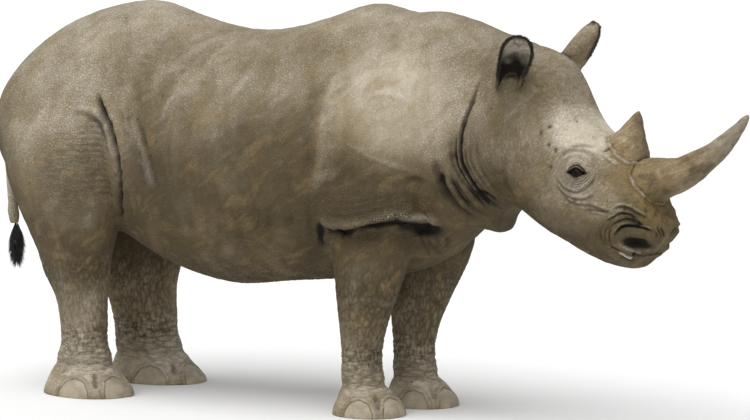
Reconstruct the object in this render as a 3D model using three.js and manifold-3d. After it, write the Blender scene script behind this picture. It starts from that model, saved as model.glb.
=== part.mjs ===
// A white rhinoceros standing still, life size, in millimetres, +X forward, +Y to its left, +Z up.
// The flesh is lofted through rings, then parted into head, lower jaw, neck, trunk, tail, legs and
// feet by thin cuts. Ears, horns, eyes and toenails are solids of their own, let into the flesh.

import * as THREE from "three";
import { mergeVertices } from "three/addons/utils/BufferGeometryUtils.js";
import Module from "manifold-3d";

const wasm = await Module();
wasm.setup();

// ---- driving sizes -------------------------------------------------------------------------------

const GAP = 0.4; // left between two parts that meet
const ROW_GAP = 0.008; // the same, as a share of the way between two rows of a table
const BODY_SIDES = 28; // facets round the trunk, neck and head
const LEG_SIDES = 16;
const RINGS_PER_ROW = 1.35; // of the trunk, neck and head

const HEAD_PIVOT_X = 1000; // the head is turned about an upright line here
const HEAD_TURN = THREE.MathUtils.degToRad(-8); // a little to the animal's right
const TURN_START_X = 850;
const TURN_END_X = 1330;

// Rings of the trunk, neck and head, from rump to muzzle. Each lies across the line from its top
// point to its bottom point. mid is the height of its widest place as a share of that line, from
// the bottom, and square is 2 for an ellipse and more for a boxier ring, above and below that place.
//  topX, topZ, bottomX, bottomZ, half width, mid, square above, square below
const BODY_ROWS = [
  [-1310, 1235, -1310, 1130, 90, 0.5, 2.0, 2.0], // buttocks
  [-1288, 1360, -1274, 1015, 232, 0.5, 2.0, 2.2],
  [-1205, 1490, -1180, 900, 326, 0.5, 2.0, 2.4],
  [-1070, 1606, -1050, 822, 370, 0.46, 2.0, 2.5],
  [-880, 1699, -870, 780, 390, 0.44, 1.9, 2.4], // croup
  [-640, 1750, -650, 716, 394, 0.43, 1.8, 2.3], // sacral hump
  [-490, 1744, -495, 642, 410, 0.42, 1.85, 2.25],
  [-340, 1692, -340, 579, 436, 0.42, 1.95, 2.2],
  [-90, 1636, -90, 526, 474, 0.42, 2.0, 2.1], // belly
  [160, 1640, 160, 549, 466, 0.43, 2.0, 2.1],
  [380, 1692, 390, 568, 424, 0.46, 1.9, 2.1],
  [540, 1742, 570, 585, 390, 0.48, 1.8, 2.1], // withers
  [660, 1746, 740, 610, 364, 0.49, 1.8, 2.1],
  [770, 1713, 880, 654, 340, 0.5, 1.8, 2.1], // notch before the neck hump
  [880, 1718, 1000, 734, 312, 0.5, 1.85, 2.1], // neck hump
  [985, 1706, 1108, 820, 288, 0.49, 1.9, 2.2],
  [1095, 1676, 1192, 824, 264, 0.48, 1.95, 2.2],
  [1200, 1638, 1258, 884, 244, 0.47, 2.1, 2.2],
  [1300, 1604, 1316, 936, 226, 0.47, 2.2, 2.2], // back of the head
  [1395, 1584, 1415, 873, 210, 0.48, 2.4, 2.2], // crown, between the ears
  [1475, 1560, 1500, 822, 198, 0.5, 2.5, 2.2],
  [1550, 1504, 1572, 792, 190, 0.52, 2.5, 2.2], // forehead
  [1602, 1400, 1635, 762, 184, 0.55, 2.5, 2.1],
  [1668, 1302, 1700, 736, 174, 0.58, 2.6, 2.1], // eyes
  [1752, 1238, 1770, 713, 158, 0.6, 2.6, 2.1],
  [1826, 1192, 1834, 701, 145, 0.55, 2.6, 2.1], // rear horn
  [1888, 1152, 1896, 698, 137, 0.45, 2.5, 2.2],
  [1940, 1106, 1946, 710, 134, 0.4, 2.4, 2.3], // nostrils
  [1978, 1046, 1984, 744, 132, 0.4, 2.5, 2.4],
  [2006, 980, 2012, 780, 124, 0.42, 2.5, 2.4],
  [2040, 932, 2038, 812, 102, 0.45, 2.4, 2.3],
  [2058, 900, 2056, 848, 56, 0.5, 2.0, 2.0], // lips
];
const NECK_ROW = 14; // rows where the neck and the head begin
const HEAD_ROW = 18;

// Mouth line from the lips to its corner, and on down to the throat, as the lower jaw's parting
const MOUTH_LINE = [
  [2110, 740],
  [2010, 752],
  [1940, 762],
  [1868, 770],
  [1800, 745],
  [1770, 640],
];
const MOUTH_OPENING = 7; // at the lips, fading to GAP at the corner

const EYE_RADIUS = 31;
const EYE_PLACE = [1728, 163, 1088];

// Level rings of a leg, from the sole up: z, x of the middle from the foot's place, half length fore
// and aft, y of the middle from the foot's place (outwards), half width, square
const HIND_LEG_ROWS = [
  [20, -2, 220, 0, 162, 2.3],
  [50, -3, 216, 0, 160, 2.2],
  [98, -16, 180, 0, 138, 2.2],
  [150, -28, 146, 0, 108, 2.1],
  [235, -42, 133, -2, 94, 2.1], // fetlock
  [330, -49, 137, -4, 93, 2.1],
  [440, -69, 153, -4, 100, 2.1], // hock
  [530, -107, 201, 0, 117, 2.1],
  [640, -112, 242, 8, 133, 2.1],
  [760, -90, 266, 18, 148, 2.1], // knee
  [900, -72, 302, 22, 152, 2.2],
  [1050, -90, 332, 20, 152, 2.2], // thigh
  [1200, -104, 316, 8, 144, 2.1],
  [1320, -125, 236, -40, 104, 2.0],
  [1400, -140, 110, -80, 50, 2.0],
];
const FRONT_LEG_ROWS = [
  [20, 4, 154, 0, 138, 2.3],
  [50, 3, 152, 0, 136, 2.2],
  [95, -4, 124, 0, 116, 2.2],
  [142, -22, 91, 2, 86, 2.1], // fetlock
  [225, -30, 86, 4, 82, 2.1],
  [310, -29, 90, 6, 84, 2.1],
  [400, -20, 106, 8, 94, 2.1], // knee
  [500, -2, 130, 14, 108, 2.1],
  [600, 18, 158, 20, 118, 2.1],
  [700, 32, 184, 26, 122, 2.1], // elbow
  [800, 30, 196, 32, 122, 2.1],
  [900, 12, 180, 34, 112, 2.1],
  [1000, 0, 130, 34, 80, 2.0],
];
const FOOT_ROW = 3; // row where a foot is parted from its leg
// Flap of skin over the top of a foreleg, in the same kind of rows
const FLAP_X = 722;
const FLAP_Y = 232;
const SHOULDER_ROWS = [
  [812, 0, 222, 0, 118, 2.4],
  [836, 0, 258, 0, 152, 2.4],
  [915, -4, 250, 0, 162, 2.3],
  [1040, -34, 258, -6, 152, 2.2],
  [1160, -60, 220, -30, 112, 2.1],
  [1240, -75, 140, -60, 70, 2.0],
];

const SOLE_Z = 20;
const HIND_NAILS = [
  { angle: -66, half: 78, height: 80 },
  { angle: 0, half: 80, height: 86 },
  { angle: 66, half: 78, height: 80 },
];
const FRONT_NAILS = [
  { angle: -68, half: 66, height: 74 },
  { angle: 0, half: 70, height: 80 },
  { angle: 68, half: 66, height: 74 },
];
const NAIL_NAMES = ["inner", "middle", "outer"];
const NAIL_PROUD = 5;
const NAIL_INSET = 12;

// toeOut turns the foot and shankOut the leg above it, in degrees
const HIND = { rows: HIND_LEG_ROWS, nails: HIND_NAILS, shankOut: 26 };
const FRONT = { rows: FRONT_LEG_ROWS, nails: FRONT_NAILS, shankOut: 8 };
const LEGS = [
  { name: "hind_right", side: -1, x: -745, y: 270, toeOut: 12, stretch: 1, ...HIND },
  { name: "hind_left", side: 1, x: -764, y: 265, toeOut: 2, stretch: 1.09, ...HIND },
  { name: "front_right", side: -1, x: 655, y: 180, toeOut: 8, stretch: 1, ...FRONT },
  { name: "front_left", side: 1, x: 681, y: 200, toeOut: -3, stretch: 1.06, ...FRONT },
];
const SHANK_Z = [90, 230]; // a leg goes over from toeOut to shankOut between these heights
const UPPER_LEG_Z = [600, 940]; // and comes straight between these

// Curved round things, as x, z of the middle line, half thickness across it, half width
const FRONT_HORN_ROWS = [
  [1890, 1006, 94, 92],
  [1950, 1040, 100, 96],
  [2022, 1066, 85, 86],
  [2102, 1081, 71, 72],
  [2183, 1120, 59, 60],
  [2264, 1169, 47, 47],
  [2331, 1222, 37, 37],
  [2391, 1283, 24, 24],
  [2432, 1330, 6, 6],
];
const REAR_HORN_ROWS = [
  [1842, 1120, 106, 84],
  [1862, 1184, 98, 76],
  [1878, 1236, 66, 54],
  [1897, 1288, 36, 34],
  [1912, 1334, 7, 7],
];
const TAIL_ROWS = [
  [-1250, 1395, 46, 50],
  [-1318, 1340, 44, 48],
  [-1366, 1230, 34, 40],
  [-1382, 1080, 27, 32],
  [-1380, 900, 22, 25],
  [-1366, 730, 19, 20],
];
const TAIL_TUFT_ROWS = [
  [-1366, 728, 21, 22],
  [-1362, 705, 29, 30],
  [-1352, 640, 33, 34],
  [-1340, 570, 20, 20],
  [-1332, 524, 4, 4],
];
const HORN_SIDES = 12;
const TAIL_SIDES = 8;

// Rings of an ear, from its root: distance along it, half width, depth of the cup
const EAR_ROWS = [
  [-40, 42, 56],
  [0, 50, 78],
  [50, 56, 90],
  [100, 64, 80],
  [150, 69, 60],
  [195, 62, 38],
  [226, 28, 14],
];
const EAR_WALL = 12;
const EARS = [
  { name: "ear_right", side: -1, root: [1394, -192, 1438], tip: [1524, -256, 1654], face: -50 },
  { name: "ear_left", side: 1, root: [1462, 108, 1496], tip: [1524, 236, 1688], face: 66 },
];
const EAR_ARC = 7; // points along each side of an ear's section

// ---- lofting -------------------------------------------------------------------------------------

const Y_AXIS = new THREE.Vector3(0, 1, 0);
const Z_AXIS = new THREE.Vector3(0, 0, 1);

// The row at t along a table, with a smooth curve through its rows.
function rowAt(rows, t) {
  const i = Math.min(Math.floor(t), rows.length - 2);
  const u = t - i;
  const before = rows[Math.max(i - 1, 0)];
  const after = rows[Math.min(i + 2, rows.length - 1)];
  return rows[i].map((a, k) => {
    const b = rows[i + 1][k];
    const startSlope = (b - before[k]) / 2;
    const endSlope = (after[k] - a) / 2;
    const u2 = u * u;
    const u3 = u2 * u;
    return (
      a * (2 * u3 - 3 * u2 + 1) +
      startSlope * (u3 - 2 * u2 + u) +
      b * (3 * u2 - 2 * u3) +
      endSlope * (u3 - u2)
    );
  });
}

// The rows at equal steps from one row of a table to another.
function rowsBetween(rows, from, to, steps) {
  return Array.from({ length: steps + 1 }, (_, i) => rowAt(rows, from + ((to - from) * i) / steps));
}

function power(value, square) {
  return Math.sign(value) * Math.abs(value) ** (2 / square);
}

// A closed geometry through rings of equal length, with a fan of triangles over each end.
function skinThrough(rings) {
  const count = rings[0].length;
  const middle = (ring) =>
    ring.reduce((sum, p) => sum.add(p), new THREE.Vector3()).divideScalar(count);
  const points = [...rings.flat(), middle(rings[0]), middle(rings.at(-1))];
  const firstCap = points.length - 2;
  const lastCap = points.length - 1;
  const faces = [];
  for (let k = 0; k < count; k++) {
    const next = (k + 1) % count;
    for (let i = 0; i < rings.length - 1; i++) {
      const a = i * count + k;
      const b = i * count + next;
      faces.push(a, b, b + count, a, b + count, a + count);
    }
    const last = (rings.length - 1) * count;
    faces.push(firstCap, next, k, lastCap, last + k, last + next);
  }
  return new THREE.BufferGeometry()
    .setAttribute("position", new THREE.Float32BufferAttribute(points.flatMap((p) => p.toArray()), 3))
    .setIndex(faces);
}

// ---- solids --------------------------------------------------------------------------------------

// A geometry as a solid, turned right side out if its faces point inwards.
function solid(geometry) {
  const bare = new THREE.BufferGeometry().setAttribute("position", geometry.getAttribute("position"));
  const merged = mergeVertices(bare.setIndex(geometry.index), 1e-3);
  const positions = merged.attributes.position.array;
  const faces = new Uint32Array(merged.index.array);
  const made = (triVerts) =>
    new wasm.Manifold(new wasm.Mesh({ numProp: 3, vertProperties: positions, triVerts }));
  const first = made(faces);
  if (first.volume() > 0) return first;
  const turned = faces.slice();
  for (let i = 0; i < turned.length; i += 3) [turned[i], turned[i + 1]] = [faces[i + 1], faces[i]];
  return made(turned);
}

function geometryOf(manifold) {
  const mesh = manifold.getMesh();
  const geometry = new THREE.BufferGeometry()
    .setAttribute("position", new THREE.Float32BufferAttribute(mesh.vertProperties, 3))
    .setIndex(Array.from(mesh.triVerts));
  geometry.computeVertexNormals();
  return geometry;
}

function part(name, manifold, material) {
  const mesh = new THREE.Mesh(geometryOf(manifold), material);
  mesh.name = name;
  return mesh;
}

// The bodies of a solid that has been cut apart, largest first.
function bodies(manifold) {
  return manifold.decompose().sort((a, b) => b.volume() - a.volume());
}

// ---- trunk, neck and head ------------------------------------------------------------------------

function turnAt(x) {
  return HEAD_TURN * THREE.MathUtils.smoothstep(x, TURN_START_X, TURN_END_X);
}

function turnPoint(point, x) {
  return point
    .sub(new THREE.Vector3(HEAD_PIVOT_X, 0, 0))
    .applyAxisAngle(Z_AXIS, turnAt(x))
    .add(new THREE.Vector3(HEAD_PIVOT_X, 0, 0));
}

// One ring of BODY_ROWS, turned as a whole so that it stays flat.
function bodyRing(row, grow) {
  const [topX, topZ, bottomX, bottomZ, half, mid, squareAbove, squareBelow] = row;
  const top = new THREE.Vector3(topX, 0, topZ);
  const bottom = new THREE.Vector3(bottomX, 0, bottomZ);
  const up = top.clone().sub(bottom).normalize();
  const widest = bottom.clone().lerp(top, mid);
  const above = top.distanceTo(widest) + grow;
  const below = widest.distanceTo(bottom) + grow;
  return Array.from({ length: BODY_SIDES }, (_, k) => {
    const angle = (k / BODY_SIDES) * 2 * Math.PI;
    const high = Math.cos(angle);
    const square = high > 0 ? squareAbove : squareBelow;
    const point = widest
      .clone()
      .addScaledVector(up, power(high, square) * (high > 0 ? above : below))
      .addScaledVector(Y_AXIS, power(Math.sin(angle), square) * (half + grow));
    return turnPoint(point, (topX + bottomX) / 2);
  });
}

function bodyLoft(from, to, grow = 0) {
  const rows = rowsBetween(BODY_ROWS, from, to, Math.round((to - from) * RINGS_PER_ROW));
  return solid(skinThrough(rows.map((row) => bodyRing(row, grow))));
}

// A thin bent wall along MOUTH_LINE, right across the head, as one slab for each stretch of it.
function mouthCut() {
  const corner = 3;
  const pair = ([x, z], i) => {
    const open = Math.max(GAP, MOUTH_OPENING * (1 - i / corner)) / 2;
    const slant = i > corner ? open : 0;
    return [
      [x + slant, z + open],
      [x - slant, z - open],
    ];
  };
  const slabs = MOUTH_LINE.slice(1).map((to, i) => {
    const corners = [...pair(MOUTH_LINE[i], i), ...pair(to, i + 1).reverse()];
    const ring = (y) => corners.map(([x, z]) => new THREE.Vector3(x, y, z));
    return solid(turnWithHead(skinThrough([ring(-400), ring(400)])));
  });
  return slabs.reduce((wall, slab) => wall.add(slab));
}

function turnWithHead(geometry) {
  return geometry.translate(-HEAD_PIVOT_X, 0, 0).rotateZ(HEAD_TURN).translate(HEAD_PIVOT_X, 0, 0);
}

function eyeBall(side, grow) {
  const [x, y, z] = EYE_PLACE;
  const ball = new THREE.SphereGeometry(EYE_RADIUS + grow, 12, 6).translate(x, side * y, z);
  return solid(turnWithHead(ball));
}

// ---- legs ----------------------------------------------------------------------------------------

function legRing(leg, row, grow) {
  const [z, x, half, y, halfWidth, square] = row;
  const halfLength = half * leg.stretch;
  const twist = THREE.MathUtils.lerp(leg.toeOut, leg.shankOut, THREE.MathUtils.smoothstep(z, ...SHANK_Z));
  const turn = THREE.MathUtils.degToRad(twist * (1 - THREE.MathUtils.smoothstep(z, ...UPPER_LEG_Z)));
  return Array.from({ length: LEG_SIDES }, (_, k) => {
    const angle = (k / LEG_SIDES) * 2 * Math.PI;
    const point = new THREE.Vector3(
      power(Math.cos(angle), square) * (halfLength + grow) + x,
      power(Math.sin(angle), square) * (halfWidth + grow),
      z,
    );
    point.applyAxisAngle(Z_AXIS, leg.side * turn);
    return point.add(new THREE.Vector3(leg.x, leg.side * (leg.y + y), 0));
  });
}

function legLoft(leg, from, to, steps, grow = 0) {
  return solid(skinThrough(rowsBetween(leg.rows, from, to, steps).map((row) => legRing(leg, row, grow))));
}

function shoulderFlap(leg) {
  const flap = { ...leg, rows: SHOULDER_ROWS, x: FLAP_X, y: FLAP_Y, stretch: 1 };
  return legLoft(flap, 0, SHOULDER_ROWS.length - 1, 8);
}

// An arched rod pointing outwards from the foot's middle, that bounds one nail.
function nailArch(leg, nail, grow) {
  const long = 400;
  const arch = new THREE.CylinderGeometry(1, 1, long, 10);
  arch.scale(nail.half + grow, 1, nail.height + grow).translate(0, long / 2, 0);
  const turn = THREE.MathUtils.degToRad(leg.side * (leg.toeOut + nail.angle));
  return solid(arch.rotateZ(turn - Math.PI / 2).translate(leg.x, leg.side * leg.y, SOLE_Z));
}

function footAndNails(leg) {
  const shell = (grow) => legLoft(leg, 0, FOOT_ROW, 3, grow);
  const nailBed = shell(-NAIL_INSET);
  const outer = shell(NAIL_PROUD);
  let foot = shell(0);
  const nails = leg.nails.map((nail, i) => {
    foot = foot.subtract(nailArch(leg, nail, GAP).subtract(shell(-NAIL_INSET - GAP)));
    const made = outer.intersect(nailArch(leg, nail, 0)).subtract(nailBed);
    return part(`toenail_${leg.name}_${NAIL_NAMES[i]}`, bodies(made)[0], nailMaterial);
  });
  return [part("foot_" + leg.name, bodies(foot)[0], skinMaterial), ...nails];
}

// ---- horns, tail and ears ------------------------------------------------------------------------

// A round loft along a line in the XZ plane, with its rings square to that line.
function curvedLoft(rows, steps, sides, grow = 0) {
  const all = rowsBetween(rows, 0, rows.length - 1, steps);
  const rings = all.map(([x, z, thick, wide], i) => {
    const [fromX, fromZ] = all[Math.max(i - 1, 0)];
    const [toX, toZ] = all[Math.min(i + 1, steps)];
    const across = new THREE.Vector3(fromZ - toZ, 0, toX - fromX).normalize();
    return Array.from({ length: sides }, (_, k) => {
      const angle = (k / sides) * 2 * Math.PI;
      return new THREE.Vector3(x, 0, z)
        .addScaledVector(across, Math.cos(angle) * (thick + grow))
        .addScaledVector(Y_AXIS, Math.sin(angle) * (wide + grow));
    });
  });
  return skinThrough(rings);
}

// A cupped ear: each ring is a crescent, open on the side the ear faces.
function ear({ root, tip, side, face }, grow = 0) {
  const base = new THREE.Vector3(...root);
  const along = new THREE.Vector3(...tip).sub(base).normalize();
  const faceTurn = THREE.MathUtils.degToRad(face);
  const front = new THREE.Vector3(Math.cos(faceTurn), Math.sin(faceTurn), 0);
  front.addScaledVector(along, -front.dot(along)).normalize();
  const across = along.clone().cross(front);
  const rings = rowsBetween(EAR_ROWS, 0, EAR_ROWS.length - 1, 8).map(([height, half, depth]) => {
    const wall = Math.min(EAR_WALL, depth * 0.6);
    const edge = (inwards) =>
      Array.from({ length: EAR_ARC }, (_, k) => {
        const angle = (k / (EAR_ARC - 1)) * Math.PI;
        const back = Math.sin(angle) * (depth - inwards) - depth / 2;
        return base
          .clone()
          .addScaledVector(along, height)
          .addScaledVector(across, Math.cos(angle) * (half + grow - inwards * 0.8))
          .addScaledVector(front, -back);
      });
    return [...edge(-grow), ...edge(wall + grow).reverse()];
  });
  return solid(turnWithHead(skinThrough(rings)));
}

// ---- materials -----------------------------------------------------------------------------------

const skinMaterial = new THREE.MeshStandardMaterial({ color: 0x8f8673, roughness: 0.85 });
const hornMaterial = new THREE.MeshStandardMaterial({ color: 0x7d7256, roughness: 0.6 });
const nailMaterial = new THREE.MeshStandardMaterial({ color: 0x9c9588, roughness: 0.6 });
const hairMaterial = new THREE.MeshStandardMaterial({ color: 0x1c1a18, roughness: 0.9 });
const eyeMaterial = new THREE.MeshStandardMaterial({ color: 0x17110c, roughness: 0.1 });

// ---- the animal ----------------------------------------------------------------------------------

const group = new THREE.Group();

function addTrunk() {
  let trunk = bodyLoft(0, NECK_ROW);
  for (const leg of LEGS.slice(2)) trunk = trunk.add(shoulderFlap(leg));
  for (const leg of LEGS) {
    const top = leg.rows.length - 1;
    trunk = trunk.subtract(legLoft(leg, 0, top, top, GAP));
  }
  group.add(part("trunk", bodies(trunk)[0], skinMaterial));
  group.add(part("neck", bodyLoft(NECK_ROW + ROW_GAP, HEAD_ROW), skinMaterial));
}

function addHead() {
  const skull = (grow) => bodyLoft(HEAD_ROW + ROW_GAP, BODY_ROWS.length - 1, grow);
  let head = skull(0);
  for (const side of [-1, 1]) {
    head = head.subtract(eyeBall(side, GAP));
    group.add(part(side < 0 ? "eye_right" : "eye_left", eyeBall(side, 0), eyeMaterial));
  }
  const [upper, jaw] = bodies(head.subtract(mouthCut()));
  group.add(part("head", upper, skinMaterial), part("lower_jaw", jaw, skinMaterial));
  const outside = skull(GAP);
  for (const one of EARS) {
    group.add(part(one.name, bodies(ear(one).subtract(outside))[0], skinMaterial));
  }
  const rearHorn = solid(turnWithHead(curvedLoft(REAR_HORN_ROWS, REAR_HORN_ROWS.length - 1, HORN_SIDES)));
  const frontHorn = solid(turnWithHead(curvedLoft(FRONT_HORN_ROWS, 10, HORN_SIDES)));
  const frontGrown = solid(turnWithHead(curvedLoft(FRONT_HORN_ROWS, 10, HORN_SIDES, GAP)));
  group.add(part("horn_front", bodies(frontHorn.subtract(outside))[0], hornMaterial));
  group.add(
    part("horn_rear", bodies(rearHorn.subtract(outside).subtract(frontGrown))[0], hornMaterial),
  );
}

function addLegs() {
  for (const leg of LEGS) {
    const top = leg.rows.length - 1;
    group.add(part("leg_" + leg.name, legLoft(leg, FOOT_ROW + ROW_GAP, top, top - FOOT_ROW), skinMaterial));
    group.add(...footAndNails(leg));
  }
}

function addTail() {
  const outside = bodyLoft(0, NECK_ROW, GAP);
  const tail = solid(curvedLoft(TAIL_ROWS, 8, TAIL_SIDES));
  group.add(part("tail", bodies(tail.subtract(outside))[0], skinMaterial));
  group.add(part("tail_tuft", solid(curvedLoft(TAIL_TUFT_ROWS, 7, TAIL_SIDES)), hairMaterial));
}

addTrunk();
addHead();
addLegs();
addTail();

// The origin is the middle of the floor under the animal.
const box = new THREE.Box3().setFromObject(group);
const middle = box.getCenter(new THREE.Vector3());
group.position.set(-middle.x, -middle.y, -box.min.z);

export default group;
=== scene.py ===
"""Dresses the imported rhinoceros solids: one continuous wrinkled skin, horns, eyes, toenails and hair.

Metres, in the frame of the solids: +X towards the head, +Z up, right side of the animal at -Y.
"""
import math
from functools import cached_property
from itertools import product

import bmesh
import bpy
import numpy as np
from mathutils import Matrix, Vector
from mathutils.kdtree import KDTree


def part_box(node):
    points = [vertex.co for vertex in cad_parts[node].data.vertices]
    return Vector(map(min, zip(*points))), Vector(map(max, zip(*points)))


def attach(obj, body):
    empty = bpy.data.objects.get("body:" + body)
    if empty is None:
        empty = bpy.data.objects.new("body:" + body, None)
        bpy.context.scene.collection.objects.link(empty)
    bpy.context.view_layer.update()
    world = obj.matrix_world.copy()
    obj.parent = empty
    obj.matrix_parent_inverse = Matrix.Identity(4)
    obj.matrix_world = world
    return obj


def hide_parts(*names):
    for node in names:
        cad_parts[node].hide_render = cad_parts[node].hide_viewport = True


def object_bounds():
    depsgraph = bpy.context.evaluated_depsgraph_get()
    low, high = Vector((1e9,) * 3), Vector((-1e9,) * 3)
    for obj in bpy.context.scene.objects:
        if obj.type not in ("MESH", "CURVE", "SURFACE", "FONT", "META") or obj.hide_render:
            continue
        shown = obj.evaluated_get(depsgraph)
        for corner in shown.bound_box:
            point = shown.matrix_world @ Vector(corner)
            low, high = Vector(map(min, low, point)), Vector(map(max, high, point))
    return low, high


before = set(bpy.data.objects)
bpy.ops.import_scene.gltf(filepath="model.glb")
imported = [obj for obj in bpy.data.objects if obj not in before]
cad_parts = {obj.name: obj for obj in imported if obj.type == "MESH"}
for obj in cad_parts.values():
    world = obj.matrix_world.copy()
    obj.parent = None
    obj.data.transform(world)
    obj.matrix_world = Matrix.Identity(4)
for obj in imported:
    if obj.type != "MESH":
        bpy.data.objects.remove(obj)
CAD_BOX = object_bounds()

SIDES = RIGHT, LEFT = -1, 1
SIDE_NAME = {RIGHT: "right", LEFT: "left"}
LEGS = [f"{end}_{side}" for end in ("hind", "front") for side in ("right", "left")]
TOES = ("inner", "middle", "outer")
FLESH = ["trunk", "neck", "head", "lower_jaw", "tail", "ear_right", "ear_left"]
FLESH += [f"{part}_{leg}" for leg in LEGS for part in ("leg", "foot")]

VOXEL = 0.006   # spacing of the skin's mesh on the body
HORN_VOXEL, NAIL_VOXEL = 0.004, 0.003
SWELL = 0.005                       # closes the gaps between solids before they are joined
ON_FLOOR = 0.0005                   # lowest that skin and nails reach
WELD = 2e-5                         # corners of a solid closer than this are one
CREASE, RIM_ANGLE = 40, 50          # degrees from which an edge stays sharp, and is taken for an ear's rim
PULL, PUSH = 0.6, 0.624             # how far relaxing draws in and then lets out
LINE_STEP = 0.012                   # spacing of the points along a fold

# camera: where it looks, from where, and how long its lens is
LOOK_AT = (0.0702, 0.0, 0.85)
CAMERA_AZIMUTH, CAMERA_HEIGHT, CAMERA_DISTANCE = 32.0, 4.5, 14.0
LENS, SENSOR = 157.9, 36.0


# ---- small tools
def vec(*xyz):
    return np.array(xyz, float)


def unit(v):
    return v / (np.linalg.norm(v, axis=-1, keepdims=True) + 1e-12)


def box(node):
    """Both corners of a solid's box."""
    return [np.array(corner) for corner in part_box(node)]


def middle(node):
    lo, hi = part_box(node)
    return np.array((lo + hi) / 2)


def smoothstep(a, b, x):
    t = np.clip((x - a) / (b - a), 0, 1)
    return t * t * (3 - 2 * t)


def between(a, b, c, d, x):
    """Rises from 0 to 1 over a to b, and falls again over c to d."""
    return smoothstep(a, b, x) * (1 - smoothstep(c, d, x))


def peak(x, width, at=0.0):
    """A bell curve, 1 where x is at."""
    return np.exp(-((x - at) / width)**2)


def read(items, field, width):
    values = np.empty(len(items) * width, np.float32)
    items.foreach_get(field, values)
    return values.reshape(-1, width).astype(float)


def keep_color(mesh, name, values):
    """Gives each of the mesh's points a colour with four channels."""
    layer = mesh.attributes.new(name, "FLOAT_COLOR", "POINT")
    layer.data.foreach_set("color", values.astype(np.float32).ravel())


def mesh_of(points, faces, name):
    """A mesh from an array of points and one of triangles or quads."""
    mesh = bpy.data.meshes.new(name)
    mesh.vertices.add(len(points))
    mesh.vertices.foreach_set("co", np.asarray(points, np.float32).ravel())
    mesh.loops.add(faces.size)
    mesh.loops.foreach_set("vertex_index", faces.ravel().astype(np.int32))
    mesh.polygons.add(len(faces))
    mesh.polygons.foreach_set("loop_start", np.arange(0, faces.size, faces.shape[1], dtype=np.int32))
    mesh.update(calc_edges=True)
    return mesh


def repeated(triangles, times, points):
    """The same triangles again and again, each time over the next so many points."""
    return (np.array(triangles)[None] + (np.arange(times) * points)[:, None, None]).reshape(-1, 3)


def smooth_shade(mesh):
    mesh.polygons.foreach_set("use_smooth", np.ones(len(mesh.polygons), bool))
    mesh.update()


def mesh_from(bm, name):
    mesh = bpy.data.meshes.new(name)
    bm.to_mesh(mesh)
    bm.free()
    smooth_shade(mesh)
    return mesh


def add_object(name, data):
    obj = bpy.data.objects.new(name, data)
    bpy.context.scene.collection.objects.link(obj)
    return obj


def add_piece(name, mesh, material, slot, *replaced):
    """A piece of the dressed model, in place of the solids that it replaces."""
    obj = add_object(name, mesh)
    mesh.materials.append(material)
    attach(obj, "root")
    if replaced:
        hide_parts(*replaced)
    return obj


# ---- from facets to round forms
def welded(node):
    bm = bmesh.new()
    bm.from_mesh(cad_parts[node].data)
    bmesh.ops.remove_doubles(bm, verts=bm.verts, dist=WELD)
    return bm


def rounded(node, steps, swell=0.0):
    """Triangles of a solid, each cut in steps, bent to its corners' normals, and moved out by swell."""
    bm = welded(node)
    bmesh.ops.triangulate(bm, faces=bm.faces)
    mesh = mesh_from(bm, "work")
    mesh.set_sharp_from_angle(angle=math.radians(CREASE))
    corner = np.empty(len(mesh.loops), np.int32)
    mesh.loops.foreach_get("vertex_index", corner)
    place = read(mesh.vertices, "co", 3)[corner].reshape(-1, 3, 3)
    bend = read(mesh.corner_normals, "vector", 3).reshape(-1, 3, 3)
    out = read(mesh.vertex_normals, "vector", 3)[corner].reshape(-1, 3, 3)
    bpy.data.meshes.remove(mesh)

    weights = np.array([(i, j, steps - i - j) for i in range(steps + 1) for j in range(steps + 1 - i)])
    index = {tuple(w): k for k, w in enumerate(weights)}
    small = []
    for i in range(steps):
        for j in range(steps - i):
            k = steps - i - j
            small.append([index[i + 1, j, k - 1], index[i, j + 1, k - 1], index[i, j, k]])
            if k > 1:
                small.append([index[i + 1, j, k - 1], index[i + 1, j + 1, k - 2], index[i, j + 1, k - 1]])
    w = weights / steps
    flat = np.einsum("mc,tcx->tmx", w, place)
    curved = np.zeros_like(flat)
    for c in range(3):
        n = bend[:, None, c]
        lift = ((flat - place[:, None, c]) * n).sum(-1, keepdims=True)
        curved += w[None, :, c, None] * (flat - lift * n)
    points = (flat + curved) / 2 + unit(np.einsum("mc,tcx->tmx", w, out)) * swell
    return points.reshape(-1, 3), repeated(small, len(place), len(w))


def rim_points(node):
    """Points close together along the sharp edges of a solid."""
    bm = welded(node)
    points = []
    for edge in bm.edges:
        if edge.calc_face_angle(0.0) > math.radians(RIM_ANGLE):
            a, b = (np.array(v.co) for v in edge.verts)
            points += [a + (b - a) * t for t in np.linspace(0, 1, 2 + int(edge.calc_length() / 0.003))]
    bm.free()
    return np.array(points)


def joined(meshes):
    points = np.concatenate([p for p, _ in meshes])
    starts = np.cumsum([0] + [len(p) for p, _ in meshes[:-1]])
    return points, np.concatenate([f + s for (_, f), s in zip(meshes, starts)])


def remeshed(points, faces, voxel):
    """One closed quad mesh around everything."""
    obj = add_object("work", mesh_of(points, faces, "mesh"))
    cover = obj.modifiers.new("cover", "REMESH")
    cover.mode = "VOXEL"
    cover.voxel_size = voxel
    made = bpy.data.meshes.new_from_object(obj.evaluated_get(bpy.context.evaluated_depsgraph_get()))
    bpy.data.objects.remove(obj)
    return made


def neighbours_mean(a, b, vectors):
    """The mean of each point's neighbours, where a and b are the ends of the edges."""
    def total(values):
        return np.bincount(a, values[b], len(vectors)) + np.bincount(b, values[a], len(vectors))

    degree = np.maximum(total(np.ones(len(vectors))), 1)
    return np.stack([total(v) / degree for v in vectors.T], 1)


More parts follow.
